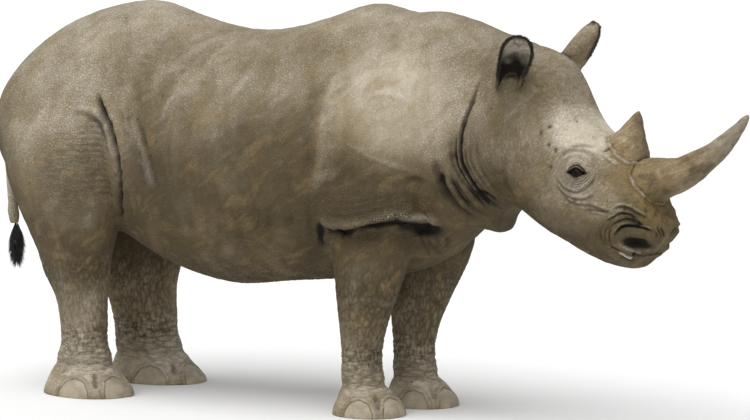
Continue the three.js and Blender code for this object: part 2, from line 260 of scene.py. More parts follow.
class Hide:
    """A mesh whose points are moved as arrays: p are the points, n their normals, a and b its edges' ends."""

    def __init__(self, mesh):
        self.mesh = mesh
        smooth_shade(mesh)
        self.p = read(mesh.vertices, "co", 3)
        edges = np.empty(len(mesh.edges) * 2, np.int32)
        mesh.edges.foreach_get("vertices", edges)
        self.a, self.b = edges.reshape(-1, 2).T
        self.n = read(mesh.vertex_normals, "vector", 3)

    def settle(self):
        """Writes the points back and works out the normals again."""
        self.mesh.vertices.foreach_set("co", self.p.astype(np.float32).ravel())
        self.mesh.update()
        self.n = read(self.mesh.vertex_normals, "vector", 3)

    def mean(self, vectors):
        return neighbours_mean(self.a, self.b, vectors)

    def relax(self, times):
        """Smooths without shrinking: every pull in is followed by a push out."""
        for _ in range(times):
            for amount in (PULL, -PUSH):
                self.p += (self.mean(self.p) - self.p) * amount

    def stand_on_floor(self):
        self.p[:, 2] = np.maximum(self.p[:, 2], ON_FLOOR)
        self.settle()

    def smooth_normals(self):
        n = self.n
        for _ in range(3):
            n = self.mean(n)
        return n


# ---- seeded noise, one value per point
def lattice(i, j, k, seed):
    """A value from 0 to 1 for each whole-numbered corner of space."""
    h = (i.astype(np.uint32) * np.uint32(374761393) + j.astype(np.uint32) * np.uint32(668265263)
         + k.astype(np.uint32) * np.uint32(2246822519) + np.uint32(seed * 3266489917 % 2**32))
    h = (h ^ (h >> np.uint32(13))) * np.uint32(1274126177)
    return ((h ^ (h >> np.uint32(16))) / np.float32(2**32)).astype(np.float32)


def noise(q, seed):
    """Smooth noise from -1 to 1."""
    cell = np.floor(q).astype(np.int32)
    t = (q - cell).astype(np.float32)
    t = t * t * (3 - 2 * t)
    total = 0
    for x, y, z in product((0, 1), repeat=3):
        w = np.abs(1 - x - t[:, 0]) * np.abs(1 - y - t[:, 1]) * np.abs(1 - z - t[:, 2])
        total = total + w * lattice(cell[:, 0] + x, cell[:, 1] + y, cell[:, 2] + z, seed)
    return total * 2 - 1


def drift(q, seed):
    """Three noises, as a shift for each point."""
    return np.stack([noise(q, seed + k) for k in range(3)], 1)


def tilted(p, cosine, sine):
    """Points turned about the Y axis."""
    return p @ np.array([[cosine, 0, -sine], [0, 1, 0], [sine, 0, cosine]])


def clouds(q, octaves, seed):
    return sum(noise(q * 2.03**o, seed + o) * 0.5**o for o in range(octaves))


def cells(q, seed):
    """0 on the borders between scattered cells, about 1 in their middles."""
    cell = np.floor(q).astype(np.int32)
    q = q.astype(np.float32)
    first = np.full(len(q), 9, np.float32)
    second = first.copy()
    for step in product((-1, 0, 1), repeat=3):
        ijk = [cell[:, axis] + step[axis] for axis in range(3)]
        d = sum((ijk[axis] + lattice(*ijk, seed + axis) - q[:, axis])**2 for axis in range(3))
        second = np.minimum(second, np.maximum(first, d))
        first = np.minimum(first, d)
    return np.sqrt(second) - np.sqrt(first)


# ---- places on the animal
SHADE_HEIGHTS = (0.0, 0.18, 0.36, 0.66, 0.90, 1.12, 1.30, 1.60)
# darkest over the belly, partly dirt and partly painted shade
SHADES = (0.50, 0.50, 0.24, 0.05, 0.00, 0.14, 0.26, 0.32)       # how pale the skin is at these heights
SHADE_PATCHES = (                   # x, across, z, three reaches and how much paler, on both sides
    (-1.28, 0.40, 1.08, 0.45, 0.35, 0.60, 0.27),    # rump and thigh
    (-0.95, 0.40, 1.16, 0.12, 0.30, 0.34, 0.10),    # skin in front of the thigh
    (0.38, 0.30, 1.32, 0.40, 0.40, 0.32, 0.25),     # shoulder
    (0.09, 0.36, 1.18, 0.08, 0.30, 0.34, 0.16),     # streak behind it
    (0.66, 0.25, 1.18, 0.26, 0.30, 0.36, 0.20),     # neck
    (0.17, 0.38, 1.05, 0.16, 0.25, 0.14, -0.06),    # patch low on the shoulder
    (0.30, 0.36, 0.92, 0.36, 0.30, 0.15, -0.38),    # band over the apron's edge
    (0.55, 0.20, 0.80, 0.30, 0.40, 0.24, -0.16),    # chest
    (-0.20, 0.40, 1.22, 0.22, 0.30, 0.16, -0.08),   # flank
    (-0.45, 0.30, 1.55, 0.60, 0.40, 0.16, -0.16),   # hollow of the back
    (-1.20, 0.30, 0.30, 0.50, 0.40, 0.35, 0.16),    # hind legs
    # the hind foot's inner side is made paler as painted light where the body shades it
    (-1.16, 0.14, 0.08, 0.14, 0.13, 0.14, 0.20),    # hind foot's inner side
    (1.16, 0.14, 1.24, 0.14, 0.20, 0.13, 0.50),     # brow
    (-1.87, 0.0, 0.95, 0.12, 0.12, 0.40, 0.40))     # tail
HEAD_PATCHES = (                    # the same in the head's frame: forward, across, up
    (-0.01, 0.10, 0.14, 0.20, 0.18, 0.15, 0.30),    # forehead
    (-0.12, 0.16, 0.06, 0.36, 0.18, 0.26, 0.36),    # side of the head
    (-0.08, 0.16, -0.18, 0.26, 0.18, 0.13, 0.26),   # jaw
    (0.27, 0.06, -0.22, 0.13, 0.16, 0.15, -0.26),   # snout
    (0.09, 0.15, -0.11, 0.14, 0.12, 0.11, 0.38))    # under the eye
EAR_HEADING = {RIGHT: -50, LEFT: 66}    # degrees: which way each ear opens
RIM = {RIGHT: 0.0125, LEFT: 0.0150}     # how far their black rims reach

EYE_RADIUS, EYE_HALF = 0.031, 0.0285    # of the ball, and half the opening's length
LID_ABOVE, LID_BELOW = 0.0150, 0.0125   # half heights of the opening
EYE_SINK, EYE_DROP, EYE_BACK = 0.008, 0.006, 0.003      # how far an eyeball sits from its solid's middle
EYE = {side: middle("eye_" + SIDE_NAME[side]) for side in SIDES}
EYES_MIDDLE = (EYE[RIGHT] + EYE[LEFT]) / 2
HEAD_LEFT = unit(EYE[LEFT] - EYE[RIGHT])
HEAD_FORWARD = np.cross(HEAD_LEFT, (0, 0, 1))
for side in SIDES:
    EYE[side] = EYE[side] - HEAD_LEFT * side * EYE_SINK - vec(0, 0, EYE_DROP) - HEAD_FORWARD * EYE_BACK


def ahead_of_eyes():
    return (hide.p - EYES_MIDDLE) @ HEAD_FORWARD


def eye_axis(side, up=0.0):
    """Which way an eye faces."""
    return unit(HEAD_LEFT * side * 0.955 + HEAD_FORWARD * 0.25 + vec(0, 0, up))


def head_point(forward, left, up):
    """A place in the head's own frame, measured from between the eyes."""
    return EYES_MIDDLE + forward * HEAD_FORWARD + left * HEAD_LEFT + vec(0, 0, up)


def within(lo, hi, reach):
    """Which of the skin's points are in a box that is made larger by reach."""
    return np.flatnonzero(((hide.p > lo - reach) & (hide.p < hi + reach)).all(1))


def nearest(point):
    return np.array(skin.closest_point_on_mesh(Vector(point))[1])


def on_skin(at, side, in_head=False):
    """The skin's point beside (along, up), seen from that side, or nearest to (along, across, up)."""
    place = head_point if in_head else vec
    if len(at) == 3:
        return nearest(place(at[0], -side * at[1], at[2]))
    start = place(at[0], side, at[1])
    outward = HEAD_LEFT * side if in_head else vec(0, side, 0)
    found, hit, _, _ = skin.ray_cast(Vector(start), Vector(-outward))
    return np.array(hit) if found else nearest(start - outward * 0.85)


def line_on_skin(points, side, in_head=False):
    """A smooth line through the points, lying on the skin."""
    knots = [on_skin(at, side, in_head) for at in points]
    knots = [2 * knots[0] - knots[1]] + knots + [2 * knots[-1] - knots[-2]]
    line = []
    for a, b, c, d in zip(knots, knots[1:], knots[2:], knots[3:]):
        steps = max(2, int(np.linalg.norm(c - b) / LINE_STEP))
        for t in np.arange(steps) / steps:
            line.append(((2 * b) + (c - a) * t + (2 * a - 5 * b + 4 * c - d) * t**2
                         + (3 * b - a - 3 * c + d) * t**3) / 2)
    return np.array([nearest(p) for p in line + [knots[-2]]])


def along_line(line, reach):
    """Points near a line: which, how far from it, on which side of it, and how far along it."""
    pick = within(line.min(0), line.max(0), reach)
    p, n = hide.p[pick], hide.n[pick]
    best = np.full(len(p), 9.0)
    across, along = np.zeros(len(p)), np.zeros(len(p))
    for i, (a, b) in enumerate(zip(line, line[1:])):
        ab = b - a
        t = np.clip((p - a) @ ab / (ab @ ab), 0, 1)
        off = p - a - t[:, None] * ab
        d = np.linalg.norm(off, axis=1)
        closer = d < best
        best[closer] = d[closer]
        across[closer] = (d * np.sign((np.cross(ab, n) * off).sum(1)))[closer]
        along[closer] = ((i + t) / (len(line) - 1))[closer]
    keep = best < reach
    return pick[keep], best[keep], across[keep], along[keep]


def mould(pick, out, dark=0.0, pale=0.0, ochre=0.0):
    """Asks for the picked points to move outwards, and adds to their marks."""
    push[pick] += out
    for k, amount in enumerate((ochre, dark, pale)):
        marks[pick, k] += amount


def moved(points, along, up):
    return [(x + along, z + up) for x, z in points]


def fold(points, width, depth, lip=0.0, lip_side=1, dark=0.0, pale=0.0, ochre=0.0, ends=0.2,
         sides=SIDES, in_head=False):
    """A groove along a line, with a raised lip on one side (+1 is left of the way it runs, seen from out).

    A negative depth makes a ridge. The marks darken the groove, as dirt and painted shade, and lighten
    the lip or the ridge, as dust and painted highlight, or stain it.
    ends is the part of the line over which each end fades."""
    for side in sides:
        pick, d, across, along = along_line(line_on_skin(points, side, in_head), width * 4)
        taper = smoothstep(0, ends, along) * smoothstep(0, ends, 1 - along) if ends else 1.0
        d, wave = d * (1 + 0.5 * noise(hide.p[pick] * 45, 8)), 1 + 0.35 * noise(hide.p[pick] * 22, 5)
        groove = peak(d, width) * taper
        beside = peak(across * side * lip_side, 1.1 * width, 1.7 * width) * taper
        top = groove if depth < 0 else beside
        # dark in the groove is dirt and painted shade, pale on the lip or ridge dust and painted highlight
        mould(pick, -depth * groove * wave + lip * beside, dark * peak(d, 1.15 * width) * taper * wave,
              pale * top, ochre * top)


def head_fold(points, width, depth, **more):
    """A fold whose points are (forward, up) or (forward, across, up) in the head's frame."""
    fold(points, width, depth, in_head=True, **more)


def bump(at, reach, height, sides=SIDES, in_head=False, dark=0.0, pale=0.0, ochre=0.0, flat=2.0):
    """A soft swelling (or, below 0, a hollow) of the skin at a place, with its reach along, across and up."""
    axes = (HEAD_FORWARD, HEAD_LEFT, vec(0, 0, 1)) if in_head else np.eye(3)
    for side in sides:
        q = hide.p - on_skin(at, side, in_head)
        r = sum(((q @ axis) / size)**2 for axis, size in zip(axes, reach))
        pick = np.flatnonzero(r < 5)
        form = np.exp(-r[pick]**(flat / 2))
        mould(pick, height * form, dark * form, pale * form, ochre * form)


def settle():
    """Moves the points by what the folds and bumps have asked for so far."""
    global push
    hide.p += hide.n * push[:, None]
    push = np.zeros(len(hide.p))
    hide.settle()


def region(at, reach):
    """1 in the middle of an ellipsoid of space, fading to 0 at its edge."""
    return 1 - smoothstep(0.4, 1.0, np.linalg.norm((hide.p - at) / reach, axis=1))


def draw_back(at, reach, shift):
    """Shifts a soft ball of skin."""
    hide.p += region(at, reach)[:, None] * shift


def pinch(at, reach, amount):
    """Draws a soft ball of skin towards its middle."""
    hide.p += region(at, reach)[:, None] * amount * (at - hide.p)


def melt(weight, times):
    """Smooths the skin only where weight says, on the points that it reaches."""
    inside = weight > 0.01
    inside[hide.a[inside[hide.b]]] = True
    number = np.cumsum(inside) - 1
    edge = inside[hide.a] & inside[hide.b]
    a, b = number[hide.a[edge]], number[hide.b[edge]]
    p = hide.p[inside]
    w = (weight[inside] * 0.7)[:, None]
    for _ in range(times):
        p += (neighbours_mean(a, b, p) - p) * w
    hide.p[inside] = p


# ---- forms of the body
def soften_joins():
    """The thigh and the shoulder flow into the trunk above; only their lower folds stay."""
    for side in SIDES:
        melt(region((-1.22, side * 0.40, 1.22), (0.42, 0.30, 0.30)), 160)
        melt(region((0.20, side * 0.38, 1.12), (0.42, 0.26, 0.30)), 160)
    melt(region((0.42, 0, 1.70), (0.40, 0.5, 0.22)), 40)
    hide.settle()


def thigh_and_flank():
    bump((-1.22, 1.10), (0.16, 0.3, 0.30), 0.010)
    fold([(-1.13, 1.34), (-1.07, 1.25), (-1.02, 1.18), (-0.98, 1.07), (-0.965, 0.96), (-0.985, 0.875),
          (-1.00, 0.82), (-1.05, 0.775)], 0.014, 0.026, lip=0.012, dark=0.95, ends=0.10)    # before the thigh
    hood = [(-1.25, 1.262), (-1.17, 1.262), (-1.10, 1.240), (-1.052, 1.19), (-1.025, 1.12), (-1.01, 1.05)]
    fold(hood, 0.013, -0.013, pale=0.42)
    fold(moved(hood, -0.016, -0.024), 0.009, 0.005, dark=0.35, ends=0.3)
    for k in range(13):     # wrinkles across the thigh, longest at the sixth
        x, z = -1.045 + 0.006 * min(k, 6), 1.205 - 0.026 * k
        reach = 0.22 - 0.10 * abs(k - 5) / 8
        fold([(x, z - 0.022), (x - 0.03, z), (x - 0.5 * reach, z + 0.010), (x - reach, z - 0.004)],
             0.008, 0.0042, dark=0.34, ends=0.35)
    # ridge of the flank, and the grooves beside it
    fold([(-0.99, 1.33), (-0.93, 1.22), (-0.86, 1.12), (-0.80, 1.03), (-0.76, 0.92)],
         0.020, -0.014, pale=0.30)
    fold([(-0.955, 1.30), (-0.91, 1.20), (-0.85, 1.10), (-0.79, 1.01)], 0.010, 0.006, dark=0.38, ochre=0.3)
    fold([(-0.895, 1.27), (-0.83, 1.15), (-0.775, 1.04), (-0.73, 0.92)], 0.009, 0.005, dark=0.42)
    fold([(-0.95, 1.42), (-0.90, 1.33), (-0.86, 1.24)], 0.018, 0.005, dark=0.22, ochre=0.4, ends=0.4)
    for x, z in ((-0.75, 1.31), (-0.60, 1.50), (-0.40, 1.40)):      # hollows, each with a pale ridge
        fold([(x + 0.05, z + 0.08), (x, z), (x - 0.04, z - 0.10)], 0.026, 0.004, ends=0.4)
        fold([(x + 0.09, z + 0.08), (x + 0.04, z), (x, z - 0.10)], 0.020, -0.004, pale=0.30, ends=0.4)
    for k in range(9):      # upright folds of the belly
        x = -0.66 + 0.075 * k + 0.01 * (k % 3)
        fold([(x + 0.02, 0.90), (x + 0.004, 0.80), (x - 0.02, 0.71)], 0.016, 0.005, dark=0.20, ends=0.4)
    for top, foot, size in (((-0.55, 1.60), (-0.86, 1.30), 1.0), ((-0.42, 1.56), (-0.70, 1.22), 0.8),
                            ((-0.80, 1.62), (-0.98, 1.40), 0.8)):   # swells under the back
        mid = ((top[0] + foot[0]) / 2 - 0.02, (top[1] + foot[1]) / 2 + 0.02)
        fold([top, mid, foot], 0.035, -0.009 * size, pale=0.22 * size, ends=0.35)
    for k in range(7):      # ribs
        x = -0.60 + 0.085 * k
        fold([(x + 0.05, 1.42 - 0.02 * k), (x, 1.20), (x - 0.03, 0.98)], 0.020, -0.0035, ends=0.4)


def shoulder():
    # pale streak behind it, and the groove next to that
    fold([(0.14, 1.48), (0.07, 1.35), (0.055, 1.22), (0.06, 1.10), (0.03, 0.97), (0.0, 0.86)],
         0.030, -0.014, pale=0.14, ends=0.25)
    fold([(0.08, 1.46), (0.01, 1.33), (-0.01, 1.20), (0.0, 1.07), (-0.03, 0.95)],
         0.022, 0.009, dark=0.12, ochre=0.35, ends=0.3)
    fold([(0.11, 1.19), (0.19, 1.14), (0.28, 1.095), (0.40, 1.055), (0.50, 1.04)],
         0.010, -0.007, pale=0.16, ochre=0.2, ends=0.4)     # vein
    fold([(0.20, 1.34), (0.32, 1.36), (0.46, 1.32)], 0.012, -0.004, pale=0.25, ends=0.4)
    fold([(0.40, 1.000), (0.45, 1.012), (0.50, 0.985)], 0.010, 0.006, lip=0.004, dark=0.3, ends=0.4)
    bump((0.16, 1.06), (0.07, 0.3, 0.06), -0.004, dark=0.38)
    bump((0.26, 1.00), (0.06, 0.3, 0.05), 0.0, dark=0.22)


def apron():
    """The skin of the shoulder hangs over the foreleg as a rolled edge, with a pit at its front end."""
    edge = [(0.00, 0.850), (0.03, 0.822), (0.08, 0.815), (0.15, 0.815), (0.22, 0.826), (0.28, 0.838),
            (0.335, 0.852), (0.39, 0.862), (0.435, 0.856), (0.475, 0.835), (0.487, 0.80)]
    fold(edge, 0.019, -0.020, pale=0.10, ends=0.08)
    fold(edge[5:], 0.017, -0.001, pale=0.34, ends=0.25)
    below = [(x + 0.003 - 0.01 * (x > 0.4), z - 0.028) for x, z in edge[1:-1]]
    # painted shade in the groove under the rolled edge
    fold(below, 0.013, 0.028, dark=1.3, ends=0.06)
    fold(moved(edge[2:8], 0, -0.060), 0.022, 0.004, dark=0.30, ends=0.3)
    # painted shade in the pit at the front end
    bump((0.447, 0.796), (0.050, 0.12, 0.034), -0.042, dark=2.0, flat=3)
    bump((0.450, 0.205, 0.788), (0.048, 0.10, 0.022), -0.012, dark=1.2, flat=2.5)
    # painted shade in the gap behind the elbow
    fold([(0.022, 0.838), (0.010, 0.80), (-0.002, 0.755), (-0.006, 0.70)],
         0.013, 0.012, dark=1.1, ends=0.30)     # behind the elbow
    bump((-0.05, 0.28, 0.68), (0.07, 0.12, 0.08), -0.003, dark=0.30)
    for k in range(4):      # wrinkles of the armpit
        x = 0.405 + 0.024 * k
        fold([(x + 0.02, 0.775), (x + 0.012, 0.73), (x + 0.004 * k, 0.67)], 0.008, 0.007, dark=0.42, ends=0.3)
    for k in range(3):      # faint lines over the roll
        fold(moved(edge[1:9], 0, 0.036 + 0.026 * k), 0.008, 0.0028, dark=0.16, ends=0.3)


def neck_and_chest():
    crack = [(0.74, 1.46), (0.700, 1.33), (0.667, 1.245), (0.652, 1.159), (0.653, 1.085), (0.677, 1.027),
             (0.698, 0.986), (0.728, 0.93), (0.765, 0.885)]
    fold(crack, 0.0075, 0.013, lip=0.006, lip_side=-1, dark=0.95, pale=0.2, ends=0.25)
    fold(moved(crack[2:], -0.020, 0), 0.026, 0.010, dark=0.34, ends=0.3)
    for shift, dark in ((-0.044, 0.45), (-0.022, 0.85), (0.022, 0.40), (0.044, 0.30), (0.075, 0.22)):
        fold(moved(crack[2:8], shift, 0), 0.0050, 0.007, dark=dark, ends=0.4)
    fold([(0.53, 1.12), (0.545, 1.03), (0.575, 0.93), (0.62, 0.875), (0.67, 0.845)],
         0.013, 0.014, lip=0.008, lip_side=-1, dark=0.7, ends=0.25)
    fold([(0.60, 1.03), (0.625, 0.94), (0.67, 0.885), (0.72, 0.86)], 0.009, 0.008, dark=0.5, ends=0.3)
    for k in range(6):      # thin cracks beside the folds
        x = 0.560 + 0.030 * k + 0.012 * (k % 2)
        fold([(x + 0.015, 1.08 - 0.02 * k), (x, 1.02 - 0.01 * k), (x + 0.022, 0.95), (x + 0.06, 0.89)],
             0.0065, 0.006, dark=0.8, ends=0.35)
    bump((0.69, 0.0, 0.81), (0.055, 0.13, 0.04), 0.022, (RIGHT,))       # corner of the dewlap
    fold([(0.86, 1.13), (0.84, 1.05), (0.845, 0.98), (0.87, 0.93)], 0.012, 0.007, dark=0.25, ends=0.3)


# ---- the head
def eye_socket(side):
    """Lids round the eyeball: the skin opens in an almond, lies on the ball and rises to the brow."""
    out = eye_axis(side, 0.12)
    ahead = unit(HEAD_FORWARD - (HEAD_FORWARD @ out) * out)
    up = vec(0, 0, 1) - out[2] * out
    up = unit(up - (up @ ahead) * ahead)
    q = hide.p - EYE[side]
    pick = np.flatnonzero((np.abs(q) < 0.15).all(1) & (q @ out > -0.06))
    x, y, z = q[pick] @ ahead, q[pick] @ up, q[pick] @ out
    r = np.hypot(x, y)
    height = np.where(y > 0, LID_ABOVE, LID_BELOW) * (1 - 0.45 * np.minimum(np.abs(x) / EYE_HALF, 1)**2)
    rho = np.hypot(x / EYE_HALF, y / height)
    gap = r * (1 - 1 / np.maximum(rho, 1e-3))           # metres outside the opening
    ball = np.sqrt(np.maximum(EYE_RADIUS**2 - r**2, 0))
    thick = 0.0035 + 0.0045 * smoothstep(0.0, 0.01, y)  # the upper lid is the heavier
    lid = np.sqrt(np.maximum((EYE_RADIUS + thick)**2 - r**2, 0))
    orbit = z + 0.015 * peak(r, 0.062)
    blend = 0.005                                       # over which the lid passes into the orbit
    cover = blend * np.log(np.exp(lid / blend) + np.exp(orbit / blend))
    cover = np.where(r < EYE_RADIUS + thick, cover, orbit + blend * np.log(2) * np.exp(-(r - 0.036) / 0.01))
    inside = 1 - smoothstep(-0.0005, 0.0035, gap)
    target = cover * (1 - inside) + (ball - 0.007) * inside
    hide.p[pick] += (target - z)[:, None] * out

    angle = np.arctan2(y, x)
    low = smoothstep(-0.35, 0.5, -np.sin(angle))
    wobble = 0.0035 * noise(hide.p[pick] * 28, 7) + 0.002 * np.sin(2 * angle + 1)
    rings = np.cos((gap - 0.004 + wobble) / 0.0095 * 2 * np.pi)
    reach = peak(gap, 0.020, 0.026) * (gap > 0)
    corners = peak(y, 0.006) * between(0.020, 0.030, 0.036, 0.055, np.abs(x))
    lid_fold = peak(gap, 0.0035, 0.0135) * smoothstep(0.0, 0.5, np.sin(angle))
    # painted shade in the rings' creases, the opening's corners and the upper lid's fold; darker all round
    # the opening, partly the lids' own dark rim and partly painted shade
    dark = 0.75 * np.maximum(rings, 0)**3 * reach * (0.2 + low) + 0.9 * corners + 0.8 * lid_fold
    dark += 2.0 * (1 - smoothstep(0.002, 0.008, gap)) + 0.6 * (1 - smoothstep(0.004, 0.022, gap))
    mould(pick, -0.0021 * rings * reach * (0.25 + low) - 0.003 * corners - 0.006 * lid_fold, dark,
          0.45 * np.maximum(-rings, 0) * reach * (0.3 + low))


def head_folds():
    bump((-0.01, 0.10, 0.155), (0.09, 0.11, 0.070), 0.0, in_head=True, pale=0.16)
    for at in ((-0.132, 0.175), (-0.129, 0.103), (-0.098, 0.084), (-0.118, 0.015), (-0.165, 0.150)):
        bump(at, (0.008, 0.05, 0.010), -0.001, in_head=True, dark=0.8)      # specks of mud
    for k in range(4):      # cracked skin at the rear horn's foot, and a pale ridge below it
        f, h = 0.098 + 0.016 * k, 0.108 - 0.015 * k
        head_fold([(f, h), (f + 0.012 + 0.006 * (k % 2), h - 0.018), (f + 0.034, h - 0.030)],
                  0.0045, 0.006, dark=0.85, ends=0.3)
    head_fold([(0.104, 0.122), (0.122, 0.100), (0.146, 0.084), (0.178, 0.074), (0.205, 0.078)],
              0.006, -0.007, pale=0.6, ends=0.3)
    # brow
    head_fold([(-0.085, 0.045), (-0.045, 0.078), (0.0, 0.083), (0.045, 0.066), (0.080, 0.025)], 0.009, 0.007,
              lip=0.009, lip_side=-1, dark=0.35, pale=0.35)
    head_fold([(-0.055, 0.090), (0.0, 0.104), (0.055, 0.094)], 0.008, 0.006, dark=0.50, ends=0.35)
    # bags under the eye, from the top one down
    head_fold([(-0.10, -0.02), (-0.06, -0.068), (0.0, -0.084), (0.055, -0.052), (0.085, 0.0)],
              0.006, 0.004, lip=0.003, dark=0.4, pale=0.15)
    head_fold([(-0.10, -0.055), (-0.05, -0.100), (0.02, -0.113), (0.085, -0.085)],
              0.006, 0.005, lip=0.004, dark=0.5, pale=0.2)
    head_fold([(-0.08, -0.092), (-0.02, -0.130), (0.05, -0.136), (0.10, -0.150), (0.16, -0.165)],
              0.006, 0.005, lip=0.003, dark=0.5, pale=0.15)
    head_fold([(-0.03, -0.145), (0.04, -0.160), (0.10, -0.175)], 0.005, 0.003, dark=0.3)


def muzzle_folds():
    """Heavy folds over the nostril, from the top one down, then those behind it and in front."""
    for points, width, depth, dark, lip, pale in (
            ([(0.150, -0.150), (0.179, -0.138), (0.196, -0.134), (0.232, -0.138), (0.268, -0.157),
              (0.310, -0.183)], 0.0048, 0.007, 0.50, 0.005, 0.15),
            ([(0.112, -0.205), (0.137, -0.188), (0.168, -0.172), (0.192, -0.160), (0.227, -0.162),
              (0.244, -0.168), (0.275, -0.190), (0.300, -0.213)], 0.0038, 0.0065, 0.50, 0.004, 0),
            ([(0.140, -0.222), (0.163, -0.202), (0.202, -0.185), (0.227, -0.180), (0.262, -0.190),
              (0.286, -0.203), (0.307, -0.222)], 0.0038, 0.0065, 0.52, 0.004, 0),
            ([(0.150, -0.262), (0.172, -0.236), (0.197, -0.212), (0.237, -0.207), (0.293, -0.214),
              (0.321, -0.229)], 0.0044, 0.011, 1.1, 0.006, 0.15)):
        head_fold(points, width, depth, dark=dark, lip=lip, pale=pale)
    for k in range(3):      # behind the nostril
        head_fold([(0.158 - 0.020 * k, -0.212 + 0.004 * k), (0.134 - 0.022 * k, -0.240),
                   (0.127 - 0.018 * k, -0.272), (0.140 - 0.012 * k, -0.300)],
                  0.0045, 0.006, dark=0.6 - 0.12 * k, ends=0.35)
    for k in range(3):      # over the other nostril's wing
        f, left, h = 0.324 - 0.006 * k, 0.010 + 0.022 * k, -0.266 + 0.004 * k
        head_fold([(f, left, h), (f + 0.004, left + 0.020, h + 0.028), (f - 0.006, left + 0.044, h + 0.054)],
                  0.0042, 0.006, dark=0.75 - 0.2 * k, ends=0.3)
    for k in range(4):      # between the heavy folds
        h = -0.148 - 0.014 * k
        head_fold([(0.175 + 0.012 * k, h), (0.225, h + 0.004), (0.285, h - 0.018)],
                  0.0035, 0.0028, dark=0.35, ends=0.4)
    head_fold([(0.02, -0.150), (0.052, -0.153), (0.088, -0.155), (0.133, -0.164)], 0.0038, 0.006,
              lip=0.004, lip_side=-1, dark=0.55, pale=0.2, ends=0.3)
    bump((0.305, -0.150), (0.050, 0.09, 0.050), 0.0, in_head=True, dark=0.22, ochre=0.9)


def nostril(side):
    # the nostril's hollow and the slit below it are darkened as painted shade
    for at, reach, height, dark, flat in (((0.262, -0.243), (0.042, 0.05, 0.014), 0.012, 0, 3),
                                          ((0.250, -0.275), (0.042, 0.06, 0.018), -0.034, 5, 3),
                                          ((0.280, -0.290), (0.016, 0.06, 0.010), -0.012, 1.6, 2.5)):
        bump(at, reach, height, (side,), True, dark=dark, flat=flat)
    head_fold([(0.17, -0.278), (0.20, -0.294), (0.235, -0.305), (0.266, -0.313)], 0.008, -0.007,
              pale=0.22, sides=(side,))
    head_fold([(0.291, -0.264), (0.287, -0.290), (0.274, -0.314)], 0.006, -0.005, pale=0.15, sides=(side,))


def lips(side):
    """The slit of the mouth, the pale rim of the lower lip, and the upper lip hanging over it."""
    mouth = [(0.125, -0.296), (0.150, -0.303), (0.185, -0.315), (0.225, -0.331), (0.255, -0.346)]
    low = [(0.158, -0.313), (0.185, -0.325), (0.215, -0.339), (0.240, -0.352)]
    # the mouth's slit and the groove below the lower lip are darkened as painted shade
    for points, width, depth, dark, pale, ends in (
            (mouth, 0.006, 0.018, 0.9, 0, 0.1),
            ([(0.255, -0.346), (0.275, 0.06, -0.352), (0.283, 0.0, -0.354)], 0.006, 0.010, 0.5, 0, 0.0),
            (low, 0.0050, -0.004, 0, 1.5, 0.3),
            (moved(low, -0.004, -0.014), 0.006, 0.004, 0.5, 0, 0.3),
            (moved(mouth, 0.002, 0.012), 0.009, -0.007, 0, 0, 0.25)):
        head_fold(points, width, depth, dark=dark, pale=pale, ends=ends, sides=(side,))


# ---- skin round horns and nails
PALE_RING = 0.006                   # how far from a horn's or nail's foot the pale ring is


def collar(obj, rise, stain, strength):
    """The skin rises round the foot of a horn or nail, with a crack next to it and a pale rim.

    stain is how far the ochre of the foot reaches, and strength how deep it is."""
    pick = within(np.array(obj.bound_box[0]), np.array(obj.bound_box[6]), 2 * stain)
    p = hide.p[pick]
    d = np.array([(obj.closest_point_on_mesh(Vector(at))[1] - Vector(at)).length for at in p])
    rough_edge = 1 + 0.45 * noise(p * 45, 71)
    patchy = smoothstep(-0.3, 0.5, noise(p * 30, 72))
    mould(pick, rise * (peak(d, 0.030) + 0.5 * peak(d, 0.006, 0.006) * rough_edge),
          (0.30 * peak(d, 0.004) + 0.22 * peak(d, 0.005, PALE_RING + 0.010)) * rough_edge,
          0.4 * peak(d, 0.005, PALE_RING) * patchy, strength * peak(d, stain))


def toes(leg):
    """Cuticles over the nails and grooves between the toes."""
    for toe in TOES:
        collar(bpy.data.objects[f"nail_{leg}_{toe}"], 0.003, 0.016, 0.5)
    foot = middle("foot_" + leg)
    centres = [middle(f"toenail_{leg}_{toe}") for toe in TOES]
    for a, b in zip(centres, centres[1:]):
        out = (a + b) / 2 - foot
        (x, y, _), (top_x, top_y, _) = foot + out * 1.05, foot + out * 0.90
        fold([(x, y, 0.012), (x, y, 0.055), (top_x, top_y, 0.105)], 0.010, 0.010, dark=0.55,
             sides=(RIGHT,), ends=0.3)


# ---- wrinkles over whole regions
def wrinkles():
    """Pads of skin on the shins and rolls round the ankles, drawn out the way the skin stretches."""
    p, z = hide.p, hide.p[:, 2]
    q = p + drift(p * 9, 11) * 0.012
    shin = between(0.13, 0.24, 0.52, 0.72, z)
    pick = np.flatnonzero(shin > 0.02)
    pads = cells(q[pick] / (0.018, 0.018, 0.046), 21)
    furrow = peak(pads, 0.16)
    strength = shin[pick] * np.where(np.abs(p[pick, 1]) < 0.22, 1.0, 0.75)      # less on the outer sides
    mould(pick, (0.0022 * np.minimum(pads, 0.6) - 0.0030 * furrow) * strength, 0.48 * furrow * strength,
          0.08 * np.minimum(pads, 0.7) * shin[pick])

    ankle = between(0.07, 0.14, 0.26, 0.36, z)
    pick = np.flatnonzero(ankle > 0.02)
    rolls = cells(q[pick] / (0.070, 0.070, 0.017), 31)
    furrow = peak(rolls, 0.20)
    mould(pick, (0.0016 * rolls - 0.0026 * furrow) * ankle[pick], 0.38 * furrow * ankle[pick])


